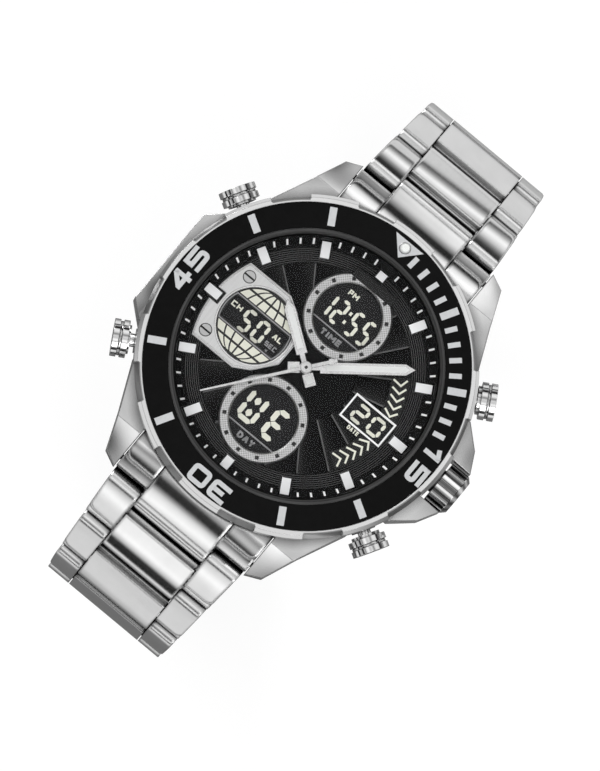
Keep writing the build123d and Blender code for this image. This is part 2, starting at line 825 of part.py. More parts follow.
with BuildPart() as seconds_plate_screws:
    with BuildSketch(Plane.XY.offset(dial_high_z)):
        with Locations((plate_screw_x, plate_screw_y), (plate_screw_x, -plate_screw_y)):
            Circle(plate_screw_radius)
    extrude(amount=plate_thickness + plate_screw_rise)
    with BuildSketch(Plane.XY.offset(dial_high_z + plate_thickness + plate_screw_rise)):
        with Locations((plate_screw_x, plate_screw_y), (plate_screw_x, -plate_screw_y)):
            Rectangle(2 * plate_screw_radius, plate_screw_slot_width)
    extrude(amount=-plate_screw_slot_depth, mode=Mode.SUBTRACT)
seconds_plate_screws.part.label = "seconds_plate_screws"
export_step(seconds_plate_screws.part, "parts/seconds_plate_screws.step")


def marker_span(hour):
    """Where the hour's marker starts and ends, as radii on the dial."""
    if hour == hours:
        return marker_12_start, marker_12_end
    if 2 * hour == hours:
        return marker_6_start, marker_6_end
    return marker_start, marker_end


def marker_outline(hour, side_gap):
    """The hour's marker seen from above, widened on every side by a gap."""
    start, end = marker_span(hour)
    with Locations(direction_at(hour * hour_step) * ((start + end) / 2)):
        Rectangle(
            marker_width + 2 * side_gap,
            end - start + 2 * side_gap,
            rotation=-hour * hour_step,
        )


# Chapter ring, notched for the markers that it meets
with BuildPart() as chapter_ring:
    with BuildSketch(Plane.XZ):
        with BuildLine():
            Polyline(
                (ring_inner_radius, dial_high_z),
                (ring_outer_radius, dial_high_z),
                (ring_outer_radius, crystal_low_z),
                (ring_slope_end, crystal_low_z),
                (ring_slope_start, dial_high_z + ring_slope_rise),
                (ring_inner_radius, dial_high_z + ring_land_rise),
                close=True,
            )
        make_face()
    revolve(axis=Axis.Z)
    with BuildSketch(Plane.XY.offset(dial_high_z)):
        for hour in range(1, hours + 1):
            marker_outline(hour, marker_side_gap)
    extrude(amount=crystal_low_z - dial_high_z, mode=Mode.SUBTRACT)
chapter_ring.part.label = "chapter_ring"
export_step(chapter_ring.part, "parts/chapter_ring.step")

with BuildPart() as hour_markers:
    with BuildSketch(Plane.XY.offset(dial_high_z)):
        for hour in range(1, hours + 1):
            marker_outline(hour, 0)
    extrude(amount=marker_height)
    chamfer(hour_markers.edges().group_by(Axis.Z)[-1], length=marker_bevel)
hour_markers.part.label = "hour_markers"
export_step(hour_markers.part, "parts/hour_markers.step")


def hand_plane(clock_angle, height):
    """A level plane at a height, whose local x runs along a hand."""
    return Plane(origin=(0, 0, height), x_dir=direction_at(clock_angle), z_dir=(0, 0, 1))


def baton_hand(clock_angle, height, length, tail, tube_radius, tube_bore):
    """A baton hand with a pointed tip and a tail, on a tube that turns round the next arbor."""
    with BuildPart() as hand:
        with BuildSketch(hand_plane(clock_angle, height)):
            with BuildLine():
                Polyline(
                    (neck_end, blade_width / 2),
                    (length - tip_length, blade_width / 2),
                    (length, 0),
                    (length - tip_length, -blade_width / 2),
                    (neck_end, -blade_width / 2),
                    (neck_end, -neck_width / 2),
                    (-hub_radius, -neck_width / 2),
                    (-hub_radius, -blade_width / 2),
                    (-tail, -blade_width / 2),
                    (-tail, blade_width / 2),
                    (-hub_radius, blade_width / 2),
                    (-hub_radius, neck_width / 2),
                    (neck_end, neck_width / 2),
                    close=True,
                )
            make_face()
            Circle(hub_radius)
        extrude(amount=hand_thickness)
        with BuildSketch(Plane.XY.offset(hand_foot_z)):
            Circle(tube_radius)
        extrude(amount=height + hand_thickness - hand_foot_z)
        with BuildSketch(Plane.XY.offset(hand_foot_z)):
            Circle(tube_bore)
        extrude(amount=height + hand_thickness - hand_foot_z, mode=Mode.SUBTRACT)
    return hand


# Hands, each turning on the one above it
hour_hand = baton_hand(
    hour_angle, hour_hand_z, hour_length, hour_tail, hour_tube_radius, hour_tube_bore
)
hour_hand.part.label = "hour_hand"
export_step(hour_hand.part, "parts/hour_hand.step")

minute_hand = baton_hand(
    minute_angle, minute_hand_z, minute_length, minute_tail, minute_tube_radius, minute_tube_bore
)
minute_hand.part.label = "minute_hand"
export_step(minute_hand.part, "parts/minute_hand.step")

with BuildPart() as second_hand:
    with BuildSketch(hand_plane(second_angle, second_hand_z)):
        with BuildLine():
            Polyline(
                (-second_tail, second_root_width / 2),
                (0, second_root_width / 2),
                (second_length, second_tip_width / 2),
                (second_length, -second_tip_width / 2),
                (0, -second_root_width / 2),
                (-second_tail, -second_root_width / 2),
                close=True,
            )
        make_face()
        with Locations((-blob_place, 0)):
            Circle(blob_radius)
    extrude(amount=hand_thickness)
    with BuildSketch(Plane.XY.offset(second_hand_z)):
        Circle(second_hub_radius)
    extrude(amount=second_hub_height)
    with BuildSketch(Plane.XY.offset(hand_foot_z)):
        Circle(second_arbor_radius)
    extrude(amount=second_hand_z - hand_foot_z)
second_hand.part.label = "second_hand"
export_step(second_hand.part, "parts/second_hand.step")

# Fluted crown, its stem and the seal that slides with them
with BuildPart() as crown:
    with BuildSketch(radial_plane(crown_angle, crown_start)):
        Circle(crown_radius)
    extrude(amount=crown_end - crown_start)
    chamfer(crown.edges().group_by(Axis.X)[-1], length=crown_cap_chamfer)
    with BuildSketch(radial_plane(crown_angle, crown_start)):
        with PolarLocations(flute_place, flute_count):
            Circle(flute_radius)
    extrude(amount=crown_end - crown_cap_chamfer - crown_start, mode=Mode.SUBTRACT)
    cut_radial_hole(crown_angle, crown_start, crown_cavity_end, crown_cavity_radius)
    cut_radial_hole(crown_angle, crown_start, stem_end, stem_radius)
crown.part.label = "crown"
export_step(crown.part, "parts/crown.step")

crown_stem = turned(crown_angle, [(stem_start, stem_end, stem_radius)])
crown_stem.part.label = "crown_stem"
export_step(crown_stem.part, "parts/crown_stem.step")

with BuildPart() as crown_seal:
    with BuildSketch(radial_plane(crown_angle, seal_start)):
        Circle(seal_outer_radius)
        Circle(seal_inner_radius, mode=Mode.SUBTRACT)
    extrude(amount=seal_end - seal_start)
crown_seal.part.label = "crown_seal"
export_step(crown_seal.part, "parts/crown_seal.step")

# Pushers: a grooved head, its stem and the clip that keeps it in its tube
for hour in pusher_hours:
    pusher = turned(
        hour * hour_step,
        [
            (pusher_stem_start, pusher_head_start, pusher_stem_radius),
            (pusher_head_start, pusher_groove_start, pusher_head_radius),
            (pusher_groove_start, pusher_groove_end, pusher_groove_radius),
            (pusher_groove_end, pusher_head_end, pusher_head_radius),
            (clip_ring_start, clip_ring_end, clip_ring_radius),
        ],
    )
    pusher.part.label = f"pusher_{hour}"
    export_step(pusher.part, f"parts/pusher_{hour}.step")

# End links: solid pieces that fill the gap between the lugs and carry the first link
def end_link_profile(end, lowered):
    """An end link seen from the side, with its top lowered by a depth."""
    with BuildLine() as outline:
        Polyline(
            (end * lug_pin_y, end_link_low_z + link_thickness - lowered),
            (end * lug_pin_y, end_link_low_z),
            (0, end_link_low_z),
            (0, end_link_high_z - lowered),
            (end * end_link_slope_y, end_link_high_z - lowered),
        )
        ThreePointArc(
            (end * end_link_slope_y, end_link_high_z - lowered),
            (end * end_link_crown_y, end_link_crown_z - lowered),
            (end * lug_pin_y, end_link_low_z + link_thickness - lowered),
        )
    make_face(outline.edges())


for name, end in (("end_link_12", 1), ("end_link_6", -1)):
    with BuildPart() as end_link_cutter:
        with BuildSketch(Plane.XY.offset(end_link_low_z)):
            Rectangle(2 * end_link_half_width, 2 * end_link_end_y)
            RectangleRounded(
                2 * end_link_half_width,
                2 * end_link_pad_end_y,
                pad_corner_radius,
                mode=Mode.SUBTRACT,
            )
            Rectangle(2 * centre_half_width, 2 * end_link_end_y, mode=Mode.SUBTRACT)
            with Locations((centre_half_width, 0), (-centre_half_width, 0)):
                Rectangle(end_link_groove_width, 2 * end_link_end_y)
        extrude(amount=beyond_case)
        with BuildSketch(Plane.YZ):
            end_link_profile(end, end_link_cut_depth)
        extrude(amount=end_link_half_width, both=True, mode=Mode.SUBTRACT)
    with BuildPart() as end_link:
        with BuildSketch(Plane.YZ):
            end_link_profile(end, 0)
            with Locations((end * lug_pin_y, lug_pin_z)):
                Circle(knuckle_radius)
        extrude(amount=end_link_half_width, both=True)
        with BuildSketch(Plane.XY.offset(end_link_low_z)):
            Rectangle(2 * end_link_half_width, 2 * end_link_end_y)
            Rectangle(2 * centre_half_width, 2 * (lug_pin_y + knuckle_radius))
            Circle(end_link_hollow_radius, mode=Mode.SUBTRACT)
        extrude(amount=beyond_case, mode=Mode.INTERSECT)
        add(end_link_cutter.part, mode=Mode.SUBTRACT)
        with BuildSketch(Plane.YZ):
            with Locations((end * lug_pin_y, lug_pin_z)):
                Circle(pin_radius + pin_running_gap)
            with Locations((end * bar_y, lug_pin_z)):
                Circle(bar_radius)
        extrude(amount=end_link_half_width, both=True, mode=Mode.SUBTRACT)
    end_link.part.label = name
    export_step(end_link.part, f"parts/{name}.step")

with BuildPart() as lug_spring_bars:
    with BuildSketch(Plane.YZ):
        with Locations((bar_y, lug_pin_z), (-bar_y, lug_pin_z)):
            Circle(bar_radius)
    extrude(amount=bar_shoulder, both=True)
    with BuildSketch(Plane.YZ):
        with Locations((bar_y, lug_pin_z), (-bar_y, lug_pin_z)):
            Circle(bar_tip_radius)
    extrude(amount=bar_tip_end, both=True)
lug_spring_bars.part.label = "lug_spring_bars"
export_step(lug_spring_bars.part, "parts/lug_spring_bars.step")


def arched(start, end):
    """The low arch on top of a link, between two places along it."""
    with BuildLine() as arch:
        ThreePointArc(
            (start, knuckle_radius),
            ((start + end) / 2, knuckle_radius + link_crown),
            (end, knuckle_radius),
        )
        Line((end, knuckle_radius), (start, knuckle_radius))
    make_face(arch.edges())


def bracelet_link(place, end, side_setback):
    """One link: two side pieces, the centre piece that the next link turns on, and two pins.

    place counts links from the case, and end is 1 on the 12 o'clock side and -1 on the other.
    The near pin is held in the side pieces and turns in the centre piece before it.
    """
    before = [radians(tilt) for tilt in link_tilts[:place]]
    tilt = radians(link_tilts[place])
    near_pin = Vector(
        0,
        end * (lug_pin_y + link_pitch * sum(cos(angle) for angle in before)),
        lug_pin_z - link_pitch * sum(sin(angle) for angle in before),
    )
    along = Vector(0, end * cos(tilt), -sin(tilt))
    outward = Vector(0, end * sin(tilt), cos(tilt))
    profile = Plane(origin=near_pin, x_dir=along, z_dir=(end, 0, 0))
    from_outside = Plane(origin=near_pin, x_dir=along, z_dir=outward)
    side_end = link_pitch - knuckle_radius - link_gap - side_setback
    near_half, far_half = link_half_widths[place], link_half_widths[place + 1]
    pad_end = side_end - pad_setback
    taper = (near_half - far_half) / link_pitch
    pad_half = near_half - taper * (pad_end - pad_corner_radius)
    with BuildPart() as link:
        with BuildSketch(profile):
            Circle(knuckle_radius)
            across(0, -knuckle_radius, side_end, link_thickness)
            arched(0, side_end)
        extrude(amount=near_half, both=True)
        with BuildSketch(from_outside):
            with BuildLine():
                Polyline(
                    (-knuckle_radius, side_inner_x),
                    (-knuckle_radius, near_half),
                    (link_pitch, far_half),
                    (link_pitch, side_inner_x),
                    close=True,
                )
            make_face()
            mirror(about=Plane.XZ)
        extrude(amount=link_pitch, both=True, mode=Mode.INTERSECT)
        with BuildSketch(from_outside.offset(knuckle_radius - pad_height)):
            with Locations((side_end, 0)):
                Rectangle(2 * (pad_setback + pad_corner_radius), 2 * link_pitch + near_half)
            RectangleRounded(2 * pad_end, 2 * pad_half, pad_corner_radius, mode=Mode.SUBTRACT)
        extrude(amount=link_thickness, mode=Mode.SUBTRACT)
        with BuildSketch(profile):
            with Locations((link_pitch, 0)):
                Circle(knuckle_radius)
            across(
                knuckle_radius + link_gap,
                -knuckle_radius,
                link_pitch - knuckle_radius - link_gap,
                link_thickness,
            )
            arched(knuckle_radius + link_gap, link_pitch)
            with Locations((knuckle_radius + link_gap, knuckle_radius)):
                Rectangle(2 * centre_setback, 2 * pad_height, mode=Mode.SUBTRACT)
        extrude(amount=centre_half_width, both=True)
        with BuildSketch(profile):
            Circle(pin_radius + pin_seat_gap)
            with Locations((tie_pin_place, 0)):
                Circle(tie_pin_radius + pin_seat_gap)
            with Locations((link_pitch, 0)):
                Circle(pin_radius + pin_running_gap)
        extrude(amount=near_half, both=True, mode=Mode.SUBTRACT)
        with BuildSketch(profile):
            Circle(pin_radius)
            with Locations((tie_pin_place, 0)):
                Circle(tie_pin_radius)
        extrude(amount=far_half - pin_setback, both=True)
    return link


# Sixteen links, eight from each end of the case to the clasp
for side_name, end in (("12", 1), ("6", -1)):
    for place in range(len(link_tilts)):
        is_last = end < 0 and place == len(link_tilts) - 1
        link = bracelet_link(place, end, last_side_setback if is_last else 0)
        link.part.label = f"link_{side_name}_{place + 1}"
        export_step(link.part, f"parts/link_{side_name}_{place + 1}.step")

# Clasp cover: a floor with two walls and two prongs for the bracelet's pin
with BuildPart() as clasp_cover:
    with BuildSketch(Plane.XY):
        with Locations((0, cover_free_y)):
            Rectangle(
                2 * clasp_half_width,
                cover_floor_end - cover_free_y,
                align=(Align.CENTER, Align.MIN),
            )
    extrude(amount=cover_floor)
    fillet(
        clasp_cover.edges().filter_by(Axis.Z).group_by(Axis.Y)[0],
        radius=cover_corner_radius,
    )
    chamfer(clasp_cover.edges().group_by(Axis.Z)[0], length=cover_edge_chamfer)
    wall_start = cover_free_y + cover_corner_radius
    for side in (-1, 1):
        with BuildSketch(Plane.XY.offset(cover_edge_chamfer)):
            with Locations((side * (clasp_half_width - cover_wall / 2), wall_start)):
                Rectangle(
                    cover_wall,
                    clasp_pin_y - wall_start,
                    align=(Align.CENTER, Align.MIN),
                )
        extrude(amount=cover_wall_high - cover_edge_chamfer)
        prong_middle = side * (clasp_half_width + side_inner_x) / 2
        with BuildSketch(Plane.YZ.offset(prong_middle)):
            with Locations((clasp_pin_y, clasp_pin_z)):
                Circle(knuckle_radius)
            across(
                cover_prong_start,
                clasp_pin_z - knuckle_radius,
                clasp_pin_y - cover_prong_start,
                link_thickness,
            )
        extrude(amount=(clasp_half_width - side_inner_x) / 2, both=True)
    with BuildSketch(Plane.YZ):
        with Locations((clasp_pin_y, clasp_pin_z)):
            Circle(clasp_bar_radius)
        with Locations((cover_hinge_y, cover_hinge_z)):
            Circle(blade_pin_radius)
    extrude(amount=clasp_half_width, both=True, mode=Mode.SUBTRACT)
clasp_cover.part.label = "clasp_cover"
export_step(clasp_cover.part, "parts/clasp_cover.step")

with BuildPart() as clasp_cover_pins:
    with BuildSketch(Plane.YZ):
        with Locations((clasp_pin_y, clasp_pin_z)):
            Circle(clasp_bar_radius)
        with Locations((cover_hinge_y, cover_hinge_z)):
            Circle(blade_pin_radius)
    extrude(amount=clasp_half_width - cover_edge_chamfer, both=True)
clasp_cover_pins.part.label = "clasp_cover_pins"
export_step(clasp_cover_pins.part, "parts/clasp_cover_pins.step")

# Middle blade: turns on the cover's free end and carries the inner blade's hinge
with BuildPart() as clasp_middle_blade:
    with BuildSketch(Plane.XY.offset(middle_low_z)):
        with Locations((0, cover_hinge_y)):
            Rectangle(
                2 * middle_half_width,
                middle_plate_end - cover_hinge_y,
                align=(Align.CENTER, Align.MIN),
            )
        Rectangle(2 * middle_window_half_width, 2 * middle_window_half_length, mode=Mode.SUBTRACT)
    extrude(amount=blade_thickness)
    with BuildSketch(Plane.YZ):
        with Locations((cover_hinge_y, cover_hinge_z)):
            Circle(blade_knuckle_radius)
    extrude(amount=middle_half_width, both=True)
    for side in (-1, 1):
        with BuildSketch(Plane.YZ.offset(side * (middle_half_width + middle_knuckle_inner_x) / 2)):
            with Locations((fold_hinge_y, fold_hinge_z)):
                Circle(fold_knuckle_radius)
            across(
                middle_plate_end - blade_thickness,
                middle_low_z,
                fold_hinge_y - middle_plate_end + blade_thickness,
                blade_thickness,
            )
        extrude(amount=(middle_half_width - middle_knuckle_inner_x) / 2, both=True)
    with BuildSketch(Plane.YZ):
        with Locations((cover_hinge_y, cover_hinge_z)):
            Circle(blade_pin_radius + pin_running_gap)
        with Locations((fold_hinge_y, fold_hinge_z)):
            Circle(blade_pin_radius)
    extrude(amount=middle_half_width, both=True, mode=Mode.SUBTRACT)
clasp_middle_blade.part.label = "clasp_middle_blade"
export_step(clasp_middle_blade.part, "parts/clasp_middle_blade.step")

with BuildPart() as clasp_fold_pin:
    with BuildSketch(Plane.YZ):
        with Locations((fold_hinge_y, fold_hinge_z)):
            Circle(blade_pin_radius)
    extrude(amount=middle_half_width, both=True)
clasp_fold_pin.part.label = "clasp_fold_pin"
export_step(clasp_fold_pin.part, "parts/clasp_fold_pin.step")

# Inner blade: folds back over the middle blade, with two prongs for the last link's bar
with BuildPart() as clasp_inner_blade:
    with BuildSketch(Plane.XY.offset(inner_low_z)):
        with Locations((0, inner_free_y)):
            Rectangle(
                2 * inner_half_width,
                inner_plate_end - inner_free_y,
                align=(Align.CENTER, Align.MIN),
            )
        with Locations((0, 0)):
            Rectangle(
                2 * inner_tongue_half_width,
                fold_hinge_y,
                align=(Align.CENTER, Align.MIN),
            )
        Rectangle(2 * inner_window_half_width, 2 * inner_window_half_length, mode=Mode.SUBTRACT)
    extrude(amount=blade_thickness)
    with BuildSketch(Plane.YZ):
        with Locations((fold_hinge_y, fold_hinge_z)):
            Circle(fold_knuckle_radius)
    extrude(amount=inner_tongue_half_width, both=True)
    for side in (-1, 1):
        with BuildSketch(Plane.YZ.offset(side * (inner_half_width + inner_prong_inner_x) / 2)):
            with Locations((-clasp_pin_y, clasp_pin_z)):
                Circle(inner_prong_radius)
            across(
                -clasp_pin_y,
                inner_prong_neck_low,
                inner_prong_neck_start + clasp_pin_y,
                clasp_pin_z + inner_prong_radius - inner_prong_neck_low,
            )
        extrude(amount=(inner_half_width - inner_prong_inner_x) / 2, both=True)
    with BuildSketch(Plane.YZ):
        with Locations((fold_hinge_y, fold_hinge_z)):
            Circle(blade_pin_radius + pin_running_gap)
        with Locations((-clasp_pin_y, clasp_pin_z)):
            Circle(bar_tip_radius)
    extrude(amount=inner_half_width, both=True, mode=Mode.SUBTRACT)
clasp_inner_blade.part.label = "clasp_inner_blade"
export_step(clasp_inner_blade.part, "parts/clasp_inner_blade.step")

# The last link's spring bar, with its tips drawn in
with BuildPart() as clasp_spring_bar:
    with BuildSketch(Plane.YZ):
        with Locations((-clasp_pin_y, clasp_pin_z)):
            Circle(clasp_bar_radius)
    extrude(amount=centre_half_width, both=True)
clasp_spring_bar.part.label = "clasp_spring_bar"
export_step(clasp_spring_bar.part, "parts/clasp_spring_bar.step")
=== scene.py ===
import bpy
import numpy as np
from mathutils import Matrix, Vector


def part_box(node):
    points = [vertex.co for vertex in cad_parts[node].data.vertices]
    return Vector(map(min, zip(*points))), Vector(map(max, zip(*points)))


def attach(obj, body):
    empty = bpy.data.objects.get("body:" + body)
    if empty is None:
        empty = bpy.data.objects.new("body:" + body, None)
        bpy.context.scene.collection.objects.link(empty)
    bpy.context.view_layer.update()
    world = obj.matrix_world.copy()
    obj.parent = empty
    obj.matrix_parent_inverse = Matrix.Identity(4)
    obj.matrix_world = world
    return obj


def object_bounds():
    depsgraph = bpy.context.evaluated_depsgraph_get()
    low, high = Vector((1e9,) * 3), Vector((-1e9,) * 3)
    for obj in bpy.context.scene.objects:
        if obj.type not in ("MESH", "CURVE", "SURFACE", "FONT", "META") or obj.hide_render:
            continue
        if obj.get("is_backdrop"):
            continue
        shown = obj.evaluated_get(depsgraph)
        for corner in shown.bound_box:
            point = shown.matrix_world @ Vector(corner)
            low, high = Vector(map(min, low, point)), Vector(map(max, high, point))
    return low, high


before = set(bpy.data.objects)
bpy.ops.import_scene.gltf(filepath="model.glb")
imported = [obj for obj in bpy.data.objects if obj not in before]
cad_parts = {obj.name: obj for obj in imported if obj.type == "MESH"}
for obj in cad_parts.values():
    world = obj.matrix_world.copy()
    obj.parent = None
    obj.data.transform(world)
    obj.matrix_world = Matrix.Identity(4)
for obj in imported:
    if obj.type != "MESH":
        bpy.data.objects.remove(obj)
cad_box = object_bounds()

# A steel wristwatch with hands and digital displays. X points to 3 o'clock, Y to 12 o'clock and
# Z out of the dial. Sizes are in millimetres, and become metres where a mesh is made.

# Camera
# It looks down on the dial from a little towards 6 o'clock, and is turned so that 12 o'clock
# points up and to the right. A long lens far off gives the picture its even scale.
MM = 0.001
camera_far = 1500 * MM
camera_lean = np.radians(5)
aim = Vector((0.92, -2.42, 52.4)) * MM
to_camera = Vector((0, -np.sin(camera_lean), np.cos(camera_lean)))
to_right = Vector((-0.638, 0.770, 0)).cross(to_camera).normalized()
to_top = to_camera.cross(to_right)
lens = bpy.data.cameras.new("camera")
lens.lens = 526.8
lens.clip_start, lens.clip_end = 0.1, 100
camera = bpy.data.objects.new("camera", lens)
camera.matrix_world = Matrix.Translation(aim + camera_far * to_camera) @ Matrix(
    (to_right, to_top, to_camera)
).transposed().to_4x4()
bpy.context.scene.collection.objects.link(camera)
bpy.context.scene.camera = camera
bpy.context.scene.view_settings.view_transform = "Standard"


# Studio
# A wide white floor, a large lamp on either side, and a pale room with darker bands, which is
# what polished steel needs to show its shape. The floor is darker under the 6 o'clock side, but
# only in reflections.
class Shade:
    """A shader value. Arithmetic on it adds Math nodes to the recipe that it belongs to."""

    def __init__(self, recipe, socket):
        self.recipe, self.socket = recipe, socket

    def maths(self, operation, *others):
        """A Math node on this value and the others after it."""
        return self.recipe.maths(operation, self, *others)

    def __add__(self, other):
        return self.maths("ADD", other)

    def __radd__(self, other):
        return self.recipe.maths("ADD", other, self)

    def __sub__(self, other):
        return self.maths("SUBTRACT", other)

    def __rsub__(self, other):
        return self.recipe.maths("SUBTRACT", other, self)

    def __mul__(self, other):
        return self.maths("MULTIPLY", other)

    def __rmul__(self, other):
        return self.recipe.maths("MULTIPLY", other, self)

    def __truediv__(self, other):
        return self.maths("DIVIDE", other)

    def __pow__(self, other):
        return self.maths("POWER", other)


class Recipe:
    """A tree of shader nodes."""

    def __init__(self, tree):
        self.tree = tree

    def node(self, kind, settings=None, sockets=None, out=0):
        """Adds a node: its settings, then its sockets' values or links. Gives one output."""
        made = self.tree.nodes.new("ShaderNode" + kind)
        for name, value in (settings or {}).items():
            if name == "stops":
                ramp = made.color_ramp
                for place, tone in value[2:]:
                    ramp.elements.new(place)
                for element, (place, tone) in zip(ramp.elements, sorted(value)):
                    element.position = place
                    element.color = (tone, tone, tone, 1)
            else:
                setattr(made, name, value)
        for name, value in (sockets or {}).items():
            if isinstance(value, Shade):
                self.tree.links.new(value.socket, made.inputs[name])
            else:
                made.inputs[name].default_value = value
        return Shade(self, made.outputs[out])

    def maths(self, operation, *values):
        return self.node("Math", {"operation": operation}, dict(enumerate(values)))

    def part(self, vector, axis):
        """One of a vector's three parts."""
        return self.node("SeparateXYZ", sockets={"Vector": vector}, out=axis)


def room_tones(angle, stops):
    """A ramp over an angle from the zenith, whose stops are given in degrees."""
    turn = 2 * np.pi
    return angle.recipe.node(
        "ValToRGB",
        {"stops": [(0.5 + degrees / 360, tone) for degrees, tone in stops]},
        {"Fac": angle / turn + 0.5},
    )


world = bpy.data.worlds.new("room")
bpy.context.scene.world = world
world.use_nodes = True
room = Recipe(world.node_tree)
direction = room.node("TexCoord", out="Generated")
across, along, upward = [room.part(direction, axis) for axis in range(3)]
along_bracelet = room_tones(
    along.maths("ARCTAN2", upward),
    [
        (-100, 0.9), (-85, 0.02), (-76, 0.05), (-70, 0.9), (-63, 1.6), (-56, 1.1), (-50, 0.03),
        (-41, 0.05), (-36, 0.9), (-31, 0.35), (-24, 1.3), (-14, 1.5), (-6, 0.8), (2, 0.9),
        (9, 1.25), (17, 0.3), (27, 1.2), (37, 1.7), (46, 1.2), (52, 0.03), (61, 0.03), (67, 0.5),
        (75, 1.6), (80, 0.7), (86, 0.03), (95, 0.9),
    ],
)
across_bracelet = room_tones(
    across.maths("ARCTAN2", upward),
    [
        (-90, 0.9), (-78, 0.05), (-68, 0.1), (-58, 0.6), (-48, 0.35), (-34, 0.9), (-20, 0.7),
        (-6, 1.0), (8, 1.05), (22, 0.6), (36, 1.1), (50, 0.3), (64, 0.04), (74, 0.9), (86, 0.4),
    ],
)
horizon = room.node(
    "MapRange",
    {"interpolation_type": "SMOOTHSTEP"},
    {"Value": upward, "From Min": 0.02, "From Max": 0.08},
)
light = 1 - horizon + along_bracelet * across_bracelet * horizon
background = world.node_tree.nodes["Background"]
world.node_tree.links.new(light.socket, background.inputs["Color"])
background.inputs["Strength"].default_value = 0.95

floor_mesh = bpy.data.meshes.new("floor")
floor_reach = 20000 * MM
floor_mesh.from_pydata(
    [(-floor_reach, -floor_reach, 0), (floor_reach, -floor_reach, 0),
     (floor_reach, floor_reach, 0), (-floor_reach, floor_reach, 0)],
    [],
    [(0, 1, 2, 3)],
)
floor = bpy.data.objects.new("floor", floor_mesh)
bpy.context.scene.collection.objects.link(floor)
floor_look = bpy.data.materials.new("floor")
floor_look.use_nodes = True
floor_mesh.materials.append(floor_look)
floor_tree = floor_look.node_tree
floor_tree.nodes.remove(floor_tree.nodes["Principled BSDF"])
sheet = Recipe(floor_tree)
by_camera, by_gloss, by_glass = [
    sheet.node("LightPath", out=ray)
    for ray in ("Is Camera Ray", "Is Glossy Ray", "Is Transmission Ray")
]
paper = sheet.node("BsdfDiffuse", sockets={"Color": (0.82, 0.82, 0.82, 1)})
shade_middle, shade_core, shade_end = -30 * MM, 20 * MM, 160 * MM
from_shade = sheet.part(sheet.node("TexCoord", out="Object"), 1) - shade_middle
shaded = sheet.node(
    "MapRange",
    {"interpolation_type": "SMOOTHSTEP"},
    {
        "Value": from_shade.maths("ABSOLUTE"), "From Min": shade_core, "From Max": shade_end,
        "To Min": 1.0, "To Max": 0.1,
    },
)
glow_strength, glow_share = 1.16, 0.72
glow = sheet.node(
    "Emission",
    sockets={"Color": (1, 1, 1, 1), "Strength": glow_strength * (1 - by_gloss * shaded)},
)
lit = sheet.node(
    "MixShader",
    sockets={0: (by_camera + by_gloss + by_glass) * glow_share, 1: paper, 2: glow},
)
floor_tree.links.new(lit.socket, floor_tree.nodes["Material Output"].inputs["Surface"])
floor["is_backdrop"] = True

for name, place, size, power in (
    ("lamp_left", (-1.5, 0.5, 0.55), 0.9, 16),
    ("lamp_right", (0.75, -0.8, 1.0), 0.9, 6),
):
    lamp = bpy.data.lights.new(name, "AREA")
    lamp.shape, lamp.size, lamp.energy = "DISK", size, power
    stand = bpy.data.objects.new(name, lamp)
    stand.location = place
    stand.rotation_euler = Vector(place).to_track_quat("Z", "Y").to_euler()
    bpy.context.scene.collection.objects.link(stand)


# Case, its tubes, its back and the back's screws
# The middle is forged stainless steel with the lugs, crown guards and collar in one piece. It is
# polished, and its collar's colour is painted dark as shade but for two lines painted lighter as
# highlights. The tubes are pressed in, and the back is held by four screws.
class Finish(Recipe):
    """A material: a Principled shader, its plain sockets, and what varies over the piece."""

    def __init__(self, name, **plain):
        self.material = bpy.data.materials.new(name)
        self.material.use_nodes = True
        super().__init__(self.material.node_tree)
        self.shader = self.tree.nodes["Principled BSDF"]
        for socket, value in plain.items():
            self.shader.inputs[socket.replace("_", " ")].default_value = value
        self.place = self.node("TexCoord", out="Object")

    def feed(self, socket, shade):
        self.tree.links.new(shade.socket, self.shader.inputs[socket])

    def clouds(self, scale, detail=3, stretch=(1, 1, 1)):
        """Soft noise from 0 to 1, of so many patches a metre, stretched along an axis."""
        at = self.node("Mapping", sockets={"Vector": self.place, "Scale": stretch})
        return self.node(
            "TexNoise", sockets={"Vector": at, "Scale": scale, "Detail": detail}, out="Fac"
        )

    def tint(self, share, dark, bright):
        """A colour between two, by a share. Each is a colour or one number for a grey."""
        ends = [(*(np.ones(3) * end), 1) for end in (dark, bright)]
        return self.node(
            "Mix", {"data_type": "RGBA"}, {"Factor": share, 6: ends[0], 7: ends[1]}, out=2
        )

    def axis(self, number):
        """One coordinate of the point, in metres."""
        return self.part(self.place, number)

    def seam_shade(self, reach):
        """A mask of painted shade: 0 in joints and corners within a reach in millimetres, 1 on open faces.
        """
        return self.node(
            "AmbientOcclusion", {"samples": 6}, {"Distance": reach * MM}, out="AO"
        )

    def edge_shade(self, reach, power):
        """A mask of painted shade: 0 along sharp edges within a reach in millimetres, 1 on open faces.
        It is how far the face's direction agrees with the one that a rounded edge would have there."""
        soft = self.node("Bevel", {"samples": 6}, {"Radius": reach * MM})
        face = self.node("NewGeometry", out="Normal")
        agree = self.node("VectorMath", {"operation": "DOT_PRODUCT"}, {0: soft, 1: face}, "Value")
        return agree**power

    def relief(self, height, depth, edge=0):
        """Bumps of a depth in millimetres, over edges that are rounded by a radius."""
        sockets = {"Height": height, "Distance": depth * MM, "Strength": 1}
        if edge:
            sockets["Normal"] = self.node("Bevel", {"samples": 6}, {"Radius": edge * MM})
        self.feed("Normal", self.node("Bump", sockets=sockets))


def dress(finish, *nodes):
    """Gives CAD nodes a finish."""
    for name in nodes:
        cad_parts[name].data.materials[0] = finish.material


def clock(finish):
    """The radius in mm and the clock angle in degrees of a point on a piece round the dial."""
    right, up = finish.axis(0), finish.axis(1)
    radius = (right * right + up * up) ** 0.5
    return radius / MM, right.maths("ARCTAN2", up) * (180 / np.pi)


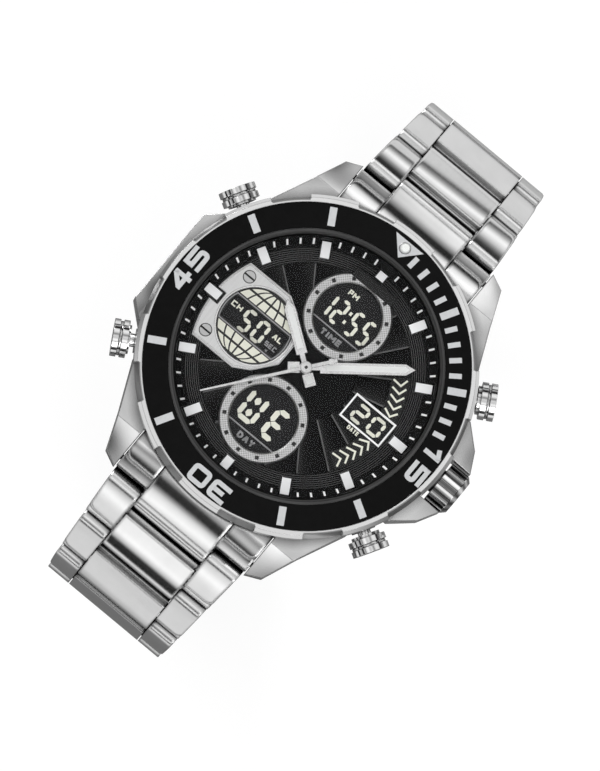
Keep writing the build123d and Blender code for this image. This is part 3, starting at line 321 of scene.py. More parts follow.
def steel(
    name, dark, bright, rough, rough_more, edge, wave=0.0, shaded_collar_radius=0.0, dome=0.0, edge_shade_reach=0.1,
    seam_shade_reach=1.6,
):
    """Polished steel: cloudy tone, faint smears in its gloss, hairlines, soft edges, and the
    slow waves that a buffing wheel leaves in a flat. Its colour is painted darker as shade in
    joints and corners and along sharp edges. Within a radius its colour may be painted dark as
    shade, but for two thin rings painted lighter as highlights, and from there it may fall away
    like a dome, by a factor of the distance squared."""
    made = Finish(name, Metallic=1)
    tone = dark + (bright - dark) * made.clouds(260)
    wave = wave * made.clouds(110, 0)
    # Within the collar's radius the colour is painted dark as shade, but for two thin rings painted lighter
    # as highlights.
    if shaded_collar_radius:
        radius, _ = clock(made)
        unshaded_with_highlights = radius.maths("GREATER_THAN", shaded_collar_radius)
        for highlight_inset in (0.14, 0.72):
            highlight_line = radius.maths("COMPARE", shaded_collar_radius - highlight_inset, 0.08)
            unshaded_with_highlights = unshaded_with_highlights + 0.45 * highlight_line
        tone = tone * (0.12 + 0.88 * unshaded_with_highlights)
        wave = wave - dome * (radius - shaded_collar_radius) ** 2
    # Painted shade: the colour darkens in joints and corners and along sharp edges.
    tone = tone * made.seam_shade(seam_shade_reach) ** 1.5 * made.edge_shade(edge_shade_reach, 4)
    made.feed("Base Color", made.tint(tone, 0, 1))
    made.feed("Roughness", rough + rough_more * made.clouds(900, 4))
    made.relief(wave + 0.001 * made.clouds(6000, 2), 1, edge)
    return made


polished = steel("polished_steel", 0.58, 0.68, 0.05, 0.06, 0.12, 0.3)
case_steel = steel(
    "case_steel", 0.6, 0.71, 0.06, 0.06, 0.2, wave=0.7, shaded_collar_radius=18.62, dome=0.007, edge_shade_reach=0.25
)
plain = steel("plain_steel", 0.5, 0.6, 0.25, 0.15, 0.06)
dress(case_steel, "case_middle")
dress(polished, "case_back")
dress(plain, "case_tubes", "case_back_screws", "lug_spring_bars")


# Seals
# Black rubber rings: one under the case back, one round the crystal, and one in the crown.
def mottled(name, tones, gloss, bumps, metallic=0, **plain):
    """A finish in two tones at so many patches a metre, with a roughness, what it gains at most
    and its patches, and bumps by their patches, depth and, if any, edge radius in mm."""
    made = Finish(name, Metallic=metallic, **plain)
    dark, bright, patches = tones
    made.feed("Base Color", made.tint(made.clouds(patches), dark, bright))
    rough, rough_more, rough_patches = gloss
    made.feed("Roughness", rough + rough_more * made.clouds(rough_patches))
    made.relief(made.clouds(bumps[0]), *bumps[1:])
    return made


rubber = mottled("seal_rubber", (0.012, 0.03, 1500), (0.6, 0.2, 4000), (9000, 0.01, 0.05))
dress(rubber, "case_back_gasket", "crystal_gasket", "crown_seal")


# Turning bezel
# A steel ring with twelve slanted finger notches. It is polished, and the notches are left
# satin, with their colour painted darker as shade. A sprung ring with three tabs under it gives
# the clicks.
bezel_steel = Finish("bezel_steel", Metallic=1)
radius, angle = clock(bezel_steel)
notch_step, notch_half, notch_foot = 30, 6.6, 22.15
from_notch = ((angle + 360) / notch_step - 0.5).maths("PINGPONG", 0.5) * notch_step
in_notch = (notch_half - from_notch).maths("GREATER_THAN", 0)
satin_and_shade = in_notch * radius.maths("GREATER_THAN", notch_foot)
# Painted shade: darker in the notches, in joints and corners, and along sharp edges.
tone = (0.68 - 0.38 * satin_and_shade) * bezel_steel.seam_shade(0.8) * bezel_steel.edge_shade(0.2, 4)
bezel_steel.feed("Base Color", bezel_steel.tint(tone, 0, 1))
bezel_steel.feed("Roughness", 0.08 + 0.06 * bezel_steel.clouds(900) + 0.26 * satin_and_shade)
bezel_steel.relief(bezel_steel.clouds(7000, 2), 0.001, 0.08)
dress(bezel_steel, "bezel_ring")
dress(plain, "bezel_click_spring")


# Bezel insert
# A ring of black anodised aluminium, finely turned and pressed into the bezel. Its minute scale
# and its figures are thick pale lacquer.
def make_piece(name, shapes, finish, body):
    """A new object of one or more shapes, each a list of points in mm and a list of faces."""
    points, faces, start = [], [], 0
    for shape_points, shape_faces in shapes:
        points.append(shape_points)
        faces += [tuple(start + corner for corner in face) for face in shape_faces]
        start += len(shape_points)
    mesh = bpy.data.meshes.new(name)
    mesh.from_pydata((np.concatenate(points) * MM).tolist(), [], faces)
    mesh.materials.append(finish.material)
    piece = bpy.data.objects.new(name, mesh)
    bpy.context.scene.collection.objects.link(piece)
    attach(piece, body)
    return piece


def around(degrees, outline):
    """Turns an outline of (sideways, outward) points to a clock angle: sideways runs clockwise
    along (cos, -sin) of the angle, and outward along (sin, cos)."""
    turn = np.radians(np.asarray(degrees, float))[..., None]
    sideways, outward = np.moveaxis(np.asarray(outline, float), -1, 0)
    return np.stack(
        [
            sideways * np.cos(turn) + outward * np.sin(turn),
            outward * np.cos(turn) - sideways * np.sin(turn),
        ],
        axis=-1,
    )


def bar(width, start, end):
    """A block's outline, from one distance outward to another."""
    return [(-width / 2, start), (width / 2, start), (width / 2, end), (-width / 2, end)]


def raised(outlines, low, high):
    """Upright blocks. Each outline is a loop of points, anticlockwise from above, which stands
    at a low level and again at a high one, with walls between and a cap on both."""
    outlines = np.asarray(outlines, float)
    count, sides = outlines.shape[:2]
    levels = [np.broadcast_to(np.asarray(level, float), (count, sides)) for level in (low, high)]
    points = np.concatenate(
        [np.concatenate([outlines, level[..., None]], axis=2) for level in levels], axis=1
    ).reshape(-1, 3)
    start = 2 * sides * np.arange(count)[:, None]
    corner = np.arange(sides)
    following = (corner + 1) % sides
    walls = np.stack([corner, following, following + sides, corner + sides], axis=1)
    faces = (start[:, :, None] + walls).reshape(-1, 4).tolist()
    faces += (start + sides + corner).tolist() + (start + corner[::-1]).tolist()
    return points, faces


def stroke(path, width, low, high, closed=False):
    """A flat bar along a path. Each point moves to both sides along the mitre, which is the sum
    of its two runs' directions, turned square and scaled so that the width stays even."""
    path = np.asarray(path, float)
    runs = np.roll(path, -1, axis=0) - path
    if not closed:
        runs[-1] = runs[-2]
    runs /= np.linalg.norm(runs, axis=1, keepdims=True)
    before = np.roll(runs, 1, axis=0)
    if not closed:
        before[0] = runs[0]
    mitre = before + runs
    mitre /= (mitre * runs).sum(axis=1, keepdims=True)
    aside = np.stack([-mitre[:, 1], mitre[:, 0]], axis=1) * width / 2
    corners = ((path - aside, low), (path - aside, high), (path + aside, high), (path + aside, low))
    ring = [np.column_stack([edge, np.full(len(path), level)]) for edge, level in corners]
    count = len(path)
    step = np.arange(count if closed else count - 1)[:, None]
    side = np.arange(4)
    after, turned = (step + 1) % count, (side + 1) % 4
    faces = np.stack([4 * step + side, 4 * after + side, 4 * after + turned, 4 * step + turned], -1)
    faces = faces.reshape(-1, 4).tolist()
    if not closed:
        last = 4 * count - 4
        faces += [[0, 1, 2, 3], [last + 3, last + 2, last + 1, last]]
    return np.stack(ring, axis=1).reshape(-1, 3), faces


def rounded(path, radius, closed=False):
    """A path whose corners become parabolas: each starts and ends a radius from its corner,
    which is its control point."""
    path = np.asarray(path, float)
    corners = path if closed else path[1:-1]
    ends = []
    for neighbour in (
        (np.roll(path, 1, axis=0), np.roll(path, -1, axis=0)) if closed else (path[:-2], path[2:])
    ):
        run = neighbour - corners
        ends.append(corners + run / np.linalg.norm(run, axis=1, keepdims=True) * radius)
    share = np.linspace(0, 1, 5)[None, :, None]
    curve = ends[0][:, None] * (1 - share) ** 2 + ends[1][:, None] * share**2
    curve = (curve + corners[:, None] * 2 * share * (1 - share)).reshape(-1, 2)
    return curve if closed else np.concatenate([path[:1], curve, path[-1:]])


def laid(shape, surface):
    """A flat shape laid on a slope: each point rises by the slope's level at its radius."""
    points, faces = shape
    lifted = points.copy()
    lifted[:, 2] += surface(np.hypot(points[:, 0], points[:, 1]))
    return lifted, faces


def top_of(name):
    """The height of a CAD node's top, in mm."""
    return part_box(name)[1][2] / MM


insert_black = Finish("insert_black", Metallic=0, Specular_IOR_Level=0.06)
insert_black.feed("Base Color", insert_black.tint(insert_black.clouds(900), 0.003, 0.006))
insert_black.feed("Roughness", 0.2 + 0.08 * insert_black.clouds(1800))
radius, _ = clock(insert_black)
turning = (radius * 50).maths("SINE")
insert_black.relief(0.0045 * turning + 0.001 * insert_black.clouds(5000), 1)
dress(insert_black, "bezel_insert")

lacquer = mottled(
    "scale_lacquer", ((0.58, 0.59, 0.6), (0.7, 0.71, 0.72), 2500), (0.34, 0.14, 5000),
    (9000, 0.004, 0.06),
)

insert_inner, insert_outer = 18.5, 21.95
insert_top, insert_fall = top_of("bezel_insert"), 0.13
scale_low, scale_high = -0.04, 0.04


def insert_level(radius):
    """The insert's surface falls evenly from its inner to its outer edge."""
    return insert_top - insert_fall * (radius - insert_inner) / (insert_outer - insert_inner)


scale = []
scale_foot = 18.95
for minutes, outline in (
    ([5, 10, 20, 25, 35, 40, 50, 55], bar(1.0, scale_foot, 21.5)),
    ([1, 2, 3, 4, 6, 7, 8, 9, 11, 12, 13], bar(0.7, scale_foot, 20.65)),
):
    marks = around(6 * np.array(minutes), np.array([outline] * len(minutes)))
    scale.append(laid(raised(marks, scale_low, scale_high), insert_level))

figure_foot, figure_stroke, figure_round = 19.38, 0.64, 0.42
rounded_figures = ("0", "3", "5")
figures = {
    "0": [(0, 0), (2.3, 0), (2.3, 1.95), (0, 1.95)],
    "1": [(1.35, 2.27), (1.35, -0.32)],
    "1 flag": [(0.15, 1.35), (1.4, 1.98)],
    "3": [(-0.2, 1.95), (2.3, 1.95), (2.3, 0), (-0.2, 0)],
    "3 bar": [(0.45, 0.98), (2.0, 0.98)],
    "4": [(-0.25, 0.5), (2.45, 0.5)],
    "4 slope": [(1.5, 2.1), (0.0, 0.55)],
    "4 stem": [(1.6, 2.27), (1.6, -0.32)],
    "5": [(-0.3, 1.03), (2.3, 1.03), (2.3, 0), (-0.3, 0)],
    "5 side": [(0.02, 0.73), (0.02, 2.25)],
    "5 top": [(-0.3, 1.95), (2.5, 1.95)],
}
for minute, signs in ((15, "15"), (30, "30"), (45, "45")):
    for sign, offset in zip(signs, (-2.85, 0.52)):
        for name in [name for name in figures if name[0] == sign]:
            closed = name == "0"
            path = np.array(figures[name]) + (offset, figure_foot)
            if name in rounded_figures:
                path = rounded(path, figure_round, closed)
            path = around(6 * minute, path)
            figure = stroke(path, figure_stroke, scale_low, scale_high, closed)
            scale.append(laid(figure, insert_level))
arrow = raised([[(-2.3, 21.45), (0.05, 18.9), (2.4, 21.45)]], scale_low, scale_high)
scale.append(laid(arrow, insert_level))
make_piece("bezel_scale", scale, lacquer, "bezel")

# Pearl
# A round luminous bead in a steel cup at the bezel's 12, glossy like the drop of resin it is.
pearl = Finish("pearl", Metallic=0.8, Coat_Weight=0.6)
pearl_y, bead_radius, cup_radius = 20.55, 0.45, 0.85
aside, outward = pearl.axis(0) / MM, pearl.axis(1) / MM - pearl_y
from_middle = (aside * aside + outward * outward) ** 0.5
cup = pearl.node(
    "MapRange", {}, {"Value": from_middle, "From Min": bead_radius, "From Max": cup_radius}
)
pearl.feed("Base Color", pearl.tint(cup, (0.9, 0.92, 0.9), (0.16, 0.16, 0.17)))
pearl.feed("Roughness", 0.12 + 0.1 * pearl.clouds(2500))
pearl.relief(pearl.clouds(4000), 0.003)
dress(pearl, "bezel_pearl")

# Crystal
# Flat mineral glass with a bevelled edge, coated against glare and pressed into the collar.
crystal = Finish("crystal_glass", Metallic=1, Base_Color=(0.92, 0.96, 1, 1), Roughness=0.03)
glare = crystal.node("Fresnel", sockets={"IOR": 1.5})
smear = crystal.clouds(220, 2)
crystal.feed("Alpha", glare * (0.05 + 0.07 * smear))
dress(crystal, "crystal")

# Movement, its circuit board, its cell and what holds them
# A grey moulded module with a green board under it, a steel cell on a sprung clip, brass contact
# blades for the pushers, and a black ring that packs them into the case.
moulding = mottled(
    "module_plastic", ((0.09, 0.09, 0.1), (0.15, 0.15, 0.16), 500), (0.5, 0.15, 2500),
    (6000, 0.01, 0.05),
)
dress(moulding, "movement", "movement_holder")

board = Finish("board_green", Metallic=0)
bend = board.clouds(140, 1) * 0.004
tracks = ((board.axis(0) + bend) * 5200).maths("SINE")
rows = ((board.axis(1) + bend) * 1400).maths("SINE")
copper = (tracks * rows).maths("GREATER_THAN", 0.35)
board.feed("Base Color", board.tint(copper, (0.02, 0.12, 0.05), (0.06, 0.28, 0.12)))
board.feed("Roughness", 0.35 + 0.1 * board.clouds(2500))
board.relief(copper, 0.02, 0.03)
dress(board, "circuit_board")

cell = steel("cell_steel", 0.55, 0.68, 0.24, 0.14, 0.06)
dress(cell, "battery", "battery_clip")
brass = mottled(
    "contact_brass", ((0.6, 0.42, 0.16), (0.78, 0.6, 0.28), 900), (0.2, 0.15, 2500),
    (5000, 0.003, 0.04), metallic=1,
)
dress(brass, "contact_springs")

# Display glass
# One dark liquid crystal panel under the whole dial. What it shows stands as pale cream bars
# with a faint painted glow, and the words under them are printed in grey on its face.
panel = mottled(
    "display_black", ((0.006, 0.006, 0.007), (0.012, 0.012, 0.013), 900), (0.16, 0.1, 1800),
    (4000, 0.001), Specular_IOR_Level=0.2,
)
dress(panel, "display_glass")

# Painted light: the cream glows faintly, though it is no lamp. The dial's arrows and word and the globe's
# cells use it too.
cream = mottled(
    "cream_painted_glow", ((0.72, 0.72, 0.62), (0.8, 0.8, 0.71), 2500), (0.42, 0.1, 5000), (9000, 0.002),
    Emission_Strength=1,
)
cream.feed(
    "Emission Color", cream.tint(cream.clouds(2500), (0.10, 0.10, 0.085), (0.13, 0.13, 0.11))
)
ink = mottled(
    "printed_grey", ((0.3, 0.3, 0.31), (0.38, 0.38, 0.39), 2500), (0.4, 0.1, 5000), (9000, 0.002)
)

glass_top = top_of("display_glass")
print_low, print_high = glass_top - 0.02, glass_top + 0.02
segment_gap = 0.05
bars_of = {
    "0": "abcdef", "1": "bc", "2": "abdeg", "5": "acdfg", "E": "adefg", "W": "bcdef",
}


def segments(sign, left, right, top, low, width):
    """A sign of bars with pointed ends between six corners: two columns, and three rows that are
    evenly spaced. Each bar stops a gap short of its corners."""
    middle = (top + low) / 2
    ends = {
        "a": ((left, top), (right, top)), "b": ((right, top), (right, middle)),
        "c": ((right, middle), (right, low)), "d": ((left, low), (right, low)),
        "e": ((left, middle), (left, low)), "f": ((left, top), (left, middle)),
        "g": ((left, middle), (right, middle)),
    }
    pairs = np.array([ends[letter] for letter in bars_of[sign]], float)
    along = pairs[:, 1] - pairs[:, 0]
    along /= np.linalg.norm(along, axis=1, keepdims=True)
    aside = np.stack([-along[:, 1], along[:, 0]], axis=1)
    start, end = pairs[:, 0] + segment_gap * along, pairs[:, 1] - segment_gap * along
    half = width / 2
    return np.stack(
        [
            start, start + (along - aside) * half, end - (along + aside) * half,
            end, end + (aside - along) * half, start + (along + aside) * half,
        ],
        axis=1,
    )


def plaque(left, right, top, low):
    """A rectangle's outline."""
    return [(left, low), (right, low), (right, top), (left, top)]


letter_paths = {
    "A": [[(0, -0.12), (0.46, 1.1)], [(1, -0.12), (0.54, 1.1)], [(0.2, 0.3), (0.8, 0.3)]],
    "C": [[(1, 1), (0, 1), (0, 0), (1, 0)]],
    "D": [[(0, 0), (0.6, 0), (1, 0.3), (1, 0.7), (0.6, 1), (0, 1), (0, -0.02)]],
    "E": [[(1, 1), (0, 1), (0, 0), (1, 0)], [(0, 0.5), (0.9, 0.5)]],
    "H": [[(0, -0.12), (0, 1.12)], [(1, -0.12), (1, 1.12)], [(0, 0.5), (1, 0.5)]],
    "I": [[(0.5, -0.12), (0.5, 1.12)]],
    "L": [[(0, 1.12), (0, 0), (1, 0)]],
    "M": [
        [(0, -0.12), (0, 1.12)], [(1, -0.12), (1, 1.12)],
        [(0.05, 1), (0.5, 0.3)], [(0.95, 1), (0.5, 0.3)],
    ],
    "P": [[(0, -0.12), (0, 1), (0.9, 1), (0.9, 0.45), (0, 0.45)]],
    "S": [[(1, 1), (0, 1), (0, 0.5), (1, 0.5), (1, 0), (0, 0)]],
    "T": [[(-0.1, 1), (1.1, 1)], [(0.5, 1), (0.5, -0.12)]],
    "Y": [[(0, 1.1), (0.5, 0.5)], [(1, 1.1), (0.5, 0.5)], [(0.5, 0.6), (0.5, -0.12)]],
}


def lettering(words, left, right, top, low, weight, level_low, level_high):
    """Capitals drawn as bars along paths in a unit square, spread over a box's width. The
    narrow and the wide one take less and more of it than the others."""
    shares = np.array([{"I": 0.5, "M": 1.25}.get(letter, 1) for letter in words])
    pitches = (right - left) * shares / shares.sum()
    height = top - low - weight
    made = []
    for letter, pitch, start in zip(words, pitches, left + np.cumsum(pitches) - pitches):
        for path in letter_paths[letter]:
            path = np.array(path) * (pitch - 1.5 * weight, height)
            path += (start + 0.75 * weight, low + weight / 2)
            made.append(stroke(path, weight, level_low, level_high))
    return made


time_y, day_y, seconds_x, date_x = 8.8, -8.8, -8.8, 10.8
middle_of = {
    "time": (0, time_y), "day": (0, day_y), "seconds": (seconds_x, 0), "date": (date_x, 0),
}
lit = []
for place, sign, left, right, top, low, width in (
    ("time", "1", -2.63, -2.63, 1.58, -1.64, 0.475),
    ("time", "2", -1.80, -0.71, 1.58, -1.64, 0.475),
    ("time", "5", 0.77, 1.86, 1.58, -1.64, 0.475),
    ("time", "5", 2.71, 3.82, 1.58, -1.64, 0.475),
    ("day", "W", -3.13, -0.9, 2.38, -1.56, 0.7),
    ("day", "E", 0.97, 2.72, 2.38, -1.56, 0.75),
    ("seconds", "5", -1.85, -0.54, 1.35, -1.47, 0.5),
    ("seconds", "0", 0.43, 1.75, 1.35, -1.47, 0.5),
    ("date", "2", -2.11, -0.41, 1.13, -1.09, 0.47),
    ("date", "0", 0.62, 2.29, 1.13, -1.09, 0.47),
):
    outlines = segments(sign, left, right, top, low, width) + np.array(middle_of[place])
    lit.append(raised(outlines, print_low, print_high))
squares = np.array([plaque(-0.15, 0.23, 0.98, 0.48), plaque(-0.15, 0.23, -0.41, -0.91)])
lit.append(raised(squares + (0, time_y), print_low, print_high))
lozenge = np.array(
    [(0, -0.6), (0.42, -0.22), (0.42, 0.22), (0, 0.6), (-0.42, 0.22), (-0.42, -0.22)]
)
lozenges = lozenge + np.array([[(-2.015, day_y + 1.4)], [(-2.015, day_y - 0.52)]])
lit.append(raised(lozenges, print_low, print_high))
lit += lettering("PM", -2.1, -0.4, time_y + 3.34, time_y + 2.54, 0.2, print_low, print_high)
lit += lettering("CH", seconds_x - 4.4, seconds_x - 2.6, 1.07, 0.3, 0.2, print_low, print_high)
lit += lettering("AL", seconds_x + 2.65, seconds_x + 4.3, 1.07, 0.3, 0.2, print_low, print_high)
make_piece("display_figures", lit, cream, "case")

words = lettering("TIME", -1.8, 1.75, time_y - 2.93, time_y - 3.82, 0.25, print_low, print_high)
words += lettering("DAY", -1.5, 1.4, day_y - 3.06, day_y - 3.98, 0.26, print_low, print_high)
words += lettering(
    "SEC", seconds_x + 2.4, seconds_x + 4.4, -0.36, -1.04, 0.16, print_low, print_high
)
lines = np.array(
    [
        plaque(-3.85, 3.85, time_y - 2.34, time_y - 2.52),
        plaque(-3.75, 3.8, day_y - 2.5, day_y - 2.7),
    ]
)
words.append(raised(lines, print_low, print_high))
flag = [(seconds_x + 3.0, -1.5), (seconds_x + 3.4, -1.7), (seconds_x + 3.4, -1.3)]
words.append(raised([flag], print_low, print_high))
make_piece("display_words", words, ink, "case")

# Dial
# A black lacquered plate. Inside the hour ring it carries pressed blades that lap over each
# other like a fan's, painted paler towards their raised edge as light. A thin rib at each lap is
# painted grey as a highlight, and a band of fine turned grooves with crests painted paler as
# highlights runs round them.
dial_black = Finish("dial_black", Metallic=0, Specular_IOR_Level=0.09)
dial_top, blade_low, blade_high = top_of("dial_plate"), 0.03, 0.4
painted_light_by_height = dial_black.node(
    "MapRange",
    sockets={
        "Value": dial_black.axis(2),
        "From Min": (dial_top + 0.1) * MM,
        "From Max": (dial_top + blade_high) * MM,
    },
)
# Painted light: the colour grows paler with height, so the blades' raised edges look lit.
dial_black.feed("Base Color", dial_black.tint(painted_light_by_height**3, 0.002, 0.024))
dial_black.feed("Roughness", 0.3 + 0.12 * dial_black.clouds(1800))
dial_black.relief(dial_black.clouds(5000), 0.002, 0.03)
dress(dial_black, "dial_plate")


def turned_ring(profile, steps=180):
    """A closed profile of (radius, height) points, anticlockwise, carried round the Z axis."""
    profile = np.asarray(profile, float)
    turn = 2 * np.pi * np.arange(steps)[:, None] / steps
    points = np.stack(
        [
            profile[:, 0] * np.cos(turn),
            profile[:, 0] * np.sin(turn),
            np.broadcast_to(profile[:, 1], (steps, len(profile))),
        ],
        axis=-1,
    ).reshape(-1, 3)
    count = len(profile)
    step, side = np.arange(steps)[:, None], np.arange(count)
    after, turned = (step + 1) % steps, (side + 1) % count
    step, after = count * step, count * after
    faces = np.stack([step + side, after + side, after + turned, step + turned], -1)
    return points, faces.reshape(-1, 4).tolist()


def sector(start, end, inner, outer, steps=10):
    """A ring sector's outline between two clock angles, anticlockwise from above."""
    turn = np.radians(np.linspace(start, end, steps))
    edge = np.column_stack([np.sin(turn), np.cos(turn)])
    return np.concatenate([edge * outer, edge[::-1] * inner])[::-1]


dial_sink = 0.05
groove_start, groove_end, groove_count = 14.2, 16.12, 7
ridge = np.linspace(groove_start, groove_end, 2 * groove_count + 1)
ridge_height = dial_top + 0.1 + 0.05 * (np.arange(2 * groove_count + 1) % 2)
grooves = np.concatenate(
    [
        [(groove_start, dial_top - dial_sink), (groove_end, dial_top - dial_sink)],
        np.column_stack([ridge, ridge_height])[::-1],
    ]
)
groove_black = Finish("groove_black", Metallic=0, Specular_IOR_Level=0.1)
radius, _ = clock(groove_black)
ridge_pitch = (groove_end - groove_start) / groove_count
crest_highlight = 0.5 - 0.5 * ((radius - groove_start) * (2 * np.pi / ridge_pitch)).maths("COSINE")
# Painted highlight: the crests of the grooves are paler than their hollows.
groove_black.feed("Base Color", groove_black.tint(crest_highlight**8, 0.002, 0.16))
groove_black.feed("Roughness", 0.3 + 0.12 * groove_black.clouds(1800))
groove_black.relief(groove_black.clouds(5000), 0.002)
make_piece("dial_grooves", [turned_ring(grooves, 240)], groove_black, "case")
relief = []
blade_edges = np.array(
    [2, 20, 38.5, 57.5, 76.5, 94, 111, 127.5, 145, 163, 181, 199, 217, 235, 253, 271, 289.5, 308,
     326, 344, 362]
)
blade_inner, blade_outer, blade_steps = 7.0, 14.15, 10
blade_gap, band_inner, band_high = 0.12, 11.6, 0.46
for start, end in zip(blade_edges, blade_edges[1:]):
    outline = sector(start + blade_gap, end, blade_inner, blade_outer, blade_steps)
    slope = np.linspace(blade_low, blade_high, blade_steps)
    levels = dial_top + np.concatenate([slope, slope[::-1]])[::-1]
    relief.append(raised([outline], dial_top - dial_sink, levels[None]))
hub_hole, hub_edge, hub_high = 0.95, 6.95, 0.12
hub_disc = np.array(
    [(hub_hole, -dial_sink), (hub_edge, -dial_sink), (hub_edge, 0.05), (6.8, hub_high),
     (hub_hole, hub_high)]
)
relief.append(turned_ring(hub_disc + (0, dial_top), 120))
for start, end in ((56, 85), (95, 124)):
    band = sector(start, end, band_inner, blade_outer, 16)
    relief.append(raised([band], dial_top - dial_sink, dial_top + band_high))
face = make_piece("dial_face", relief, dial_black, "case")
# Painted highlight: a thin raised grey bar at each blade's lap stands for the light on its edge.
rib_painted_highlight = mottled(
    "rib_painted_highlight", (0.05, 0.2, 700), (0.3, 0.12, 1800), (5000, 0.002), Specular_IOR_Level=0.2
)
rib_width, rib_inset = 0.17, 0.1
rib = bar(rib_width, blade_inner + rib_inset, blade_outer - rib_inset)
ribs = around(blade_edges[:-1], [rib] * (len(blade_edges) - 1))
rib_high = dial_top + blade_high + 0.03
rib_highlight_piece = make_piece(
    "dial_rib_highlights", [raised(ribs, dial_top - dial_sink, rib_high)], rib_painted_highlight, "case"
)

window_circle = np.linspace(0, 2 * np.pi, 48, endpoint=False)
window_circle = np.column_stack([np.cos(window_circle), np.sin(window_circle)])
windows = [
    window_circle * reach + middle_of[place]
    for place, reach in (("time", 4.9), ("day", 4.9), ("seconds", 5.4))
]
windows.append(plaque(date_x - 3.25, date_x + 3.25, 1.85, -1.85))
windows = [raised([outline], dial_top - 1, dial_top + 1) for outline in windows]
cutter = make_piece("windows", windows, dial_black, "case")
for piece in (face, rib_highlight_piece):
    cut = piece.modifiers.new("windows", "BOOLEAN")
    cut.object, cut.operation, cut.solver, cut.use_self = cutter, "DIFFERENCE", "EXACT", True
    depsgraph = bpy.context.evaluated_depsgraph_get()
    cut_mesh = bpy.data.meshes.new_from_object(piece.evaluated_get(depsgraph), depsgraph=depsgraph)
    piece.modifiers.clear()
    piece.data = cut_mesh
bpy.data.objects.remove(cutter)

# Date frame and the dial's printing
# A frame of white paint with a faint painted glow stands round the date's window. Its word is
# printed under it, and two rows of arrows stand on the bands beside it, both with the cream's
# painted glow.
# Painted light: the white print glows faintly, though it is no lamp. The minute ticks use it too.
print_white = mottled(
    "print_white", (0.82, 0.9, 2500), (0.4, 0.1, 5000), (9000, 0.002), Emission_Strength=1
)
print_white.feed("Emission Color", print_white.tint(print_white.clouds(2500), 0.14, 0.2))
frame_x, frame_y, frame_width, frame_high = 3.29, 1.79, 0.25, 0.48
frame_path = np.array(plaque(date_x - frame_x, date_x + frame_x, frame_y, -frame_y))
around_date = stroke(
    frame_path, frame_width, dial_top - dial_sink, dial_top + frame_high, closed=True
)
make_piece("date_frame", [around_date], print_white, "case")
arrows = lettering("DATE", 9.2, 11.15, -2.05, -2.65, 0.14, dial_top, dial_top + 0.43)
arrow_tip, arrow_back, arrow_step = 60.8, 3.5, 4.85
for count in range(5):
    for mirrored in (1, -1):
        tip = arrow_tip + arrow_step * count
        back = tip - arrow_back
        corners = ((back, 11.85), (tip, 12.95), (back, 13.75))
        path = np.concatenate([around([turn], [[(0, reach)]])[0] for turn, reach in corners])
        path = path * (1, mirrored)
        level = dial_top + band_high
        arrows.append(stroke(path[::mirrored], 0.27, level - 0.02, level + 0.02))
make_piece("dial_printing", arrows, cream, "case")

# A bare black bar with bevelled edges is pinned on under the marker at 12.
name_bar = make_piece(
    "dial_bar",
    [raised([plaque(-3.3, 3.6, 15.0, 13.55)], dial_top - dial_sink, dial_top + 0.84)],
    dial_black, "case",
)


def bevelled(piece, width, steps=2):
    """Rounds a piece's edges by a width in mm."""
    edge = piece.modifiers.new("edges", "BEVEL")
    edge.width, edge.segments, edge.limit_method = width * MM, steps, "ANGLE"


bevelled(name_bar, 0.12)


# Chapter ring
# A black ring whose sloping wall carries the minute ticks. It rests on the dial's rim, and its
# notches hold the hour markers.
ring_black = mottled(
    "ring_black", (0.003, 0.006, 900), (0.36, 0.12, 1800), (5000, 0.002, 0.04),
    Specular_IOR_Level=0.06,
)
dress(ring_black, "chapter_ring")
slope_foot, slope_rise, slope_ratio = 16.6, 0.6, 2
tick_minutes = np.array([minute for minute in range(60) if minute % 5])
tick = bar(0.27, 16.62, 17.3)
ticks = raised(around(6 * tick_minutes, [tick] * len(tick_minutes)), -0.05, 0.03)
ticks = laid(ticks, lambda radius: dial_top + slope_rise + slope_ratio * (radius - slope_foot))
# The ticks are white print with its painted glow.
make_piece("minute_ticks", [ticks], print_white, "case")


# Hour markers
# Twelve brass blocks, diamond cut and plated bright, whose tops are filled with white paint,
# given a faint painted glow and painted shade along their edges.
def by_height(finish, level, ease=0.01):
    """A mask: 0 below a height in mm, 1 above it."""
    low, high = (level - ease) * MM, (level + ease) * MM
    return finish.node(
        "MapRange", sockets={"Value": finish.axis(2), "From Min": low, "From Max": high}
    )


marker = Finish("hour_marker", Emission_Strength=1)
painted = by_height(marker, top_of("hour_markers") - 0.02)
speckle = marker.clouds(2500)
# Painted shade: the paint darkens along the tops' sharp edges.
marker.feed("Base Color", marker.tint(painted * marker.edge_shade(0.16, 5), 0.3, (0.88, 0.89, 0.9)))
marker.feed("Metallic", 1 - painted)
# Painted light: the paint glows faintly, though it is no lamp.
marker.feed("Emission Color", marker.tint(painted, 0, 0.16))
marker.feed("Roughness", 0.12 + 0.3 * painted + 0.08 * speckle)
marker.relief(speckle, 0.003, 0.04)
dress(marker, "hour_markers")


# Rings round the time and the day
# Silver rings with a chamfered rim, cut all over with a fine crossed grid, and with twelve small
# square pits that are black inside. The grid's cuts are also painted lighter and darker in the
# colour as shade, and the colour darkens along sharp edges as painted shade.
ring_silver = Finish("ring_silver")
cuts_pitch, pit_level = 15000, top_of("subdial_rings") - 0.24
from_middle = ring_silver.axis(1).maths("ABSOLUTE") - time_y * MM
hatching = ((ring_silver.axis(0) + from_middle) * cuts_pitch).maths("SINE")
crossing = ((ring_silver.axis(0) - from_middle) * cuts_pitch).maths("SINE")
cut_grid_and_shade = 0.5 + 0.25 * (hatching + crossing)
metal_share = by_height(ring_silver, pit_level)
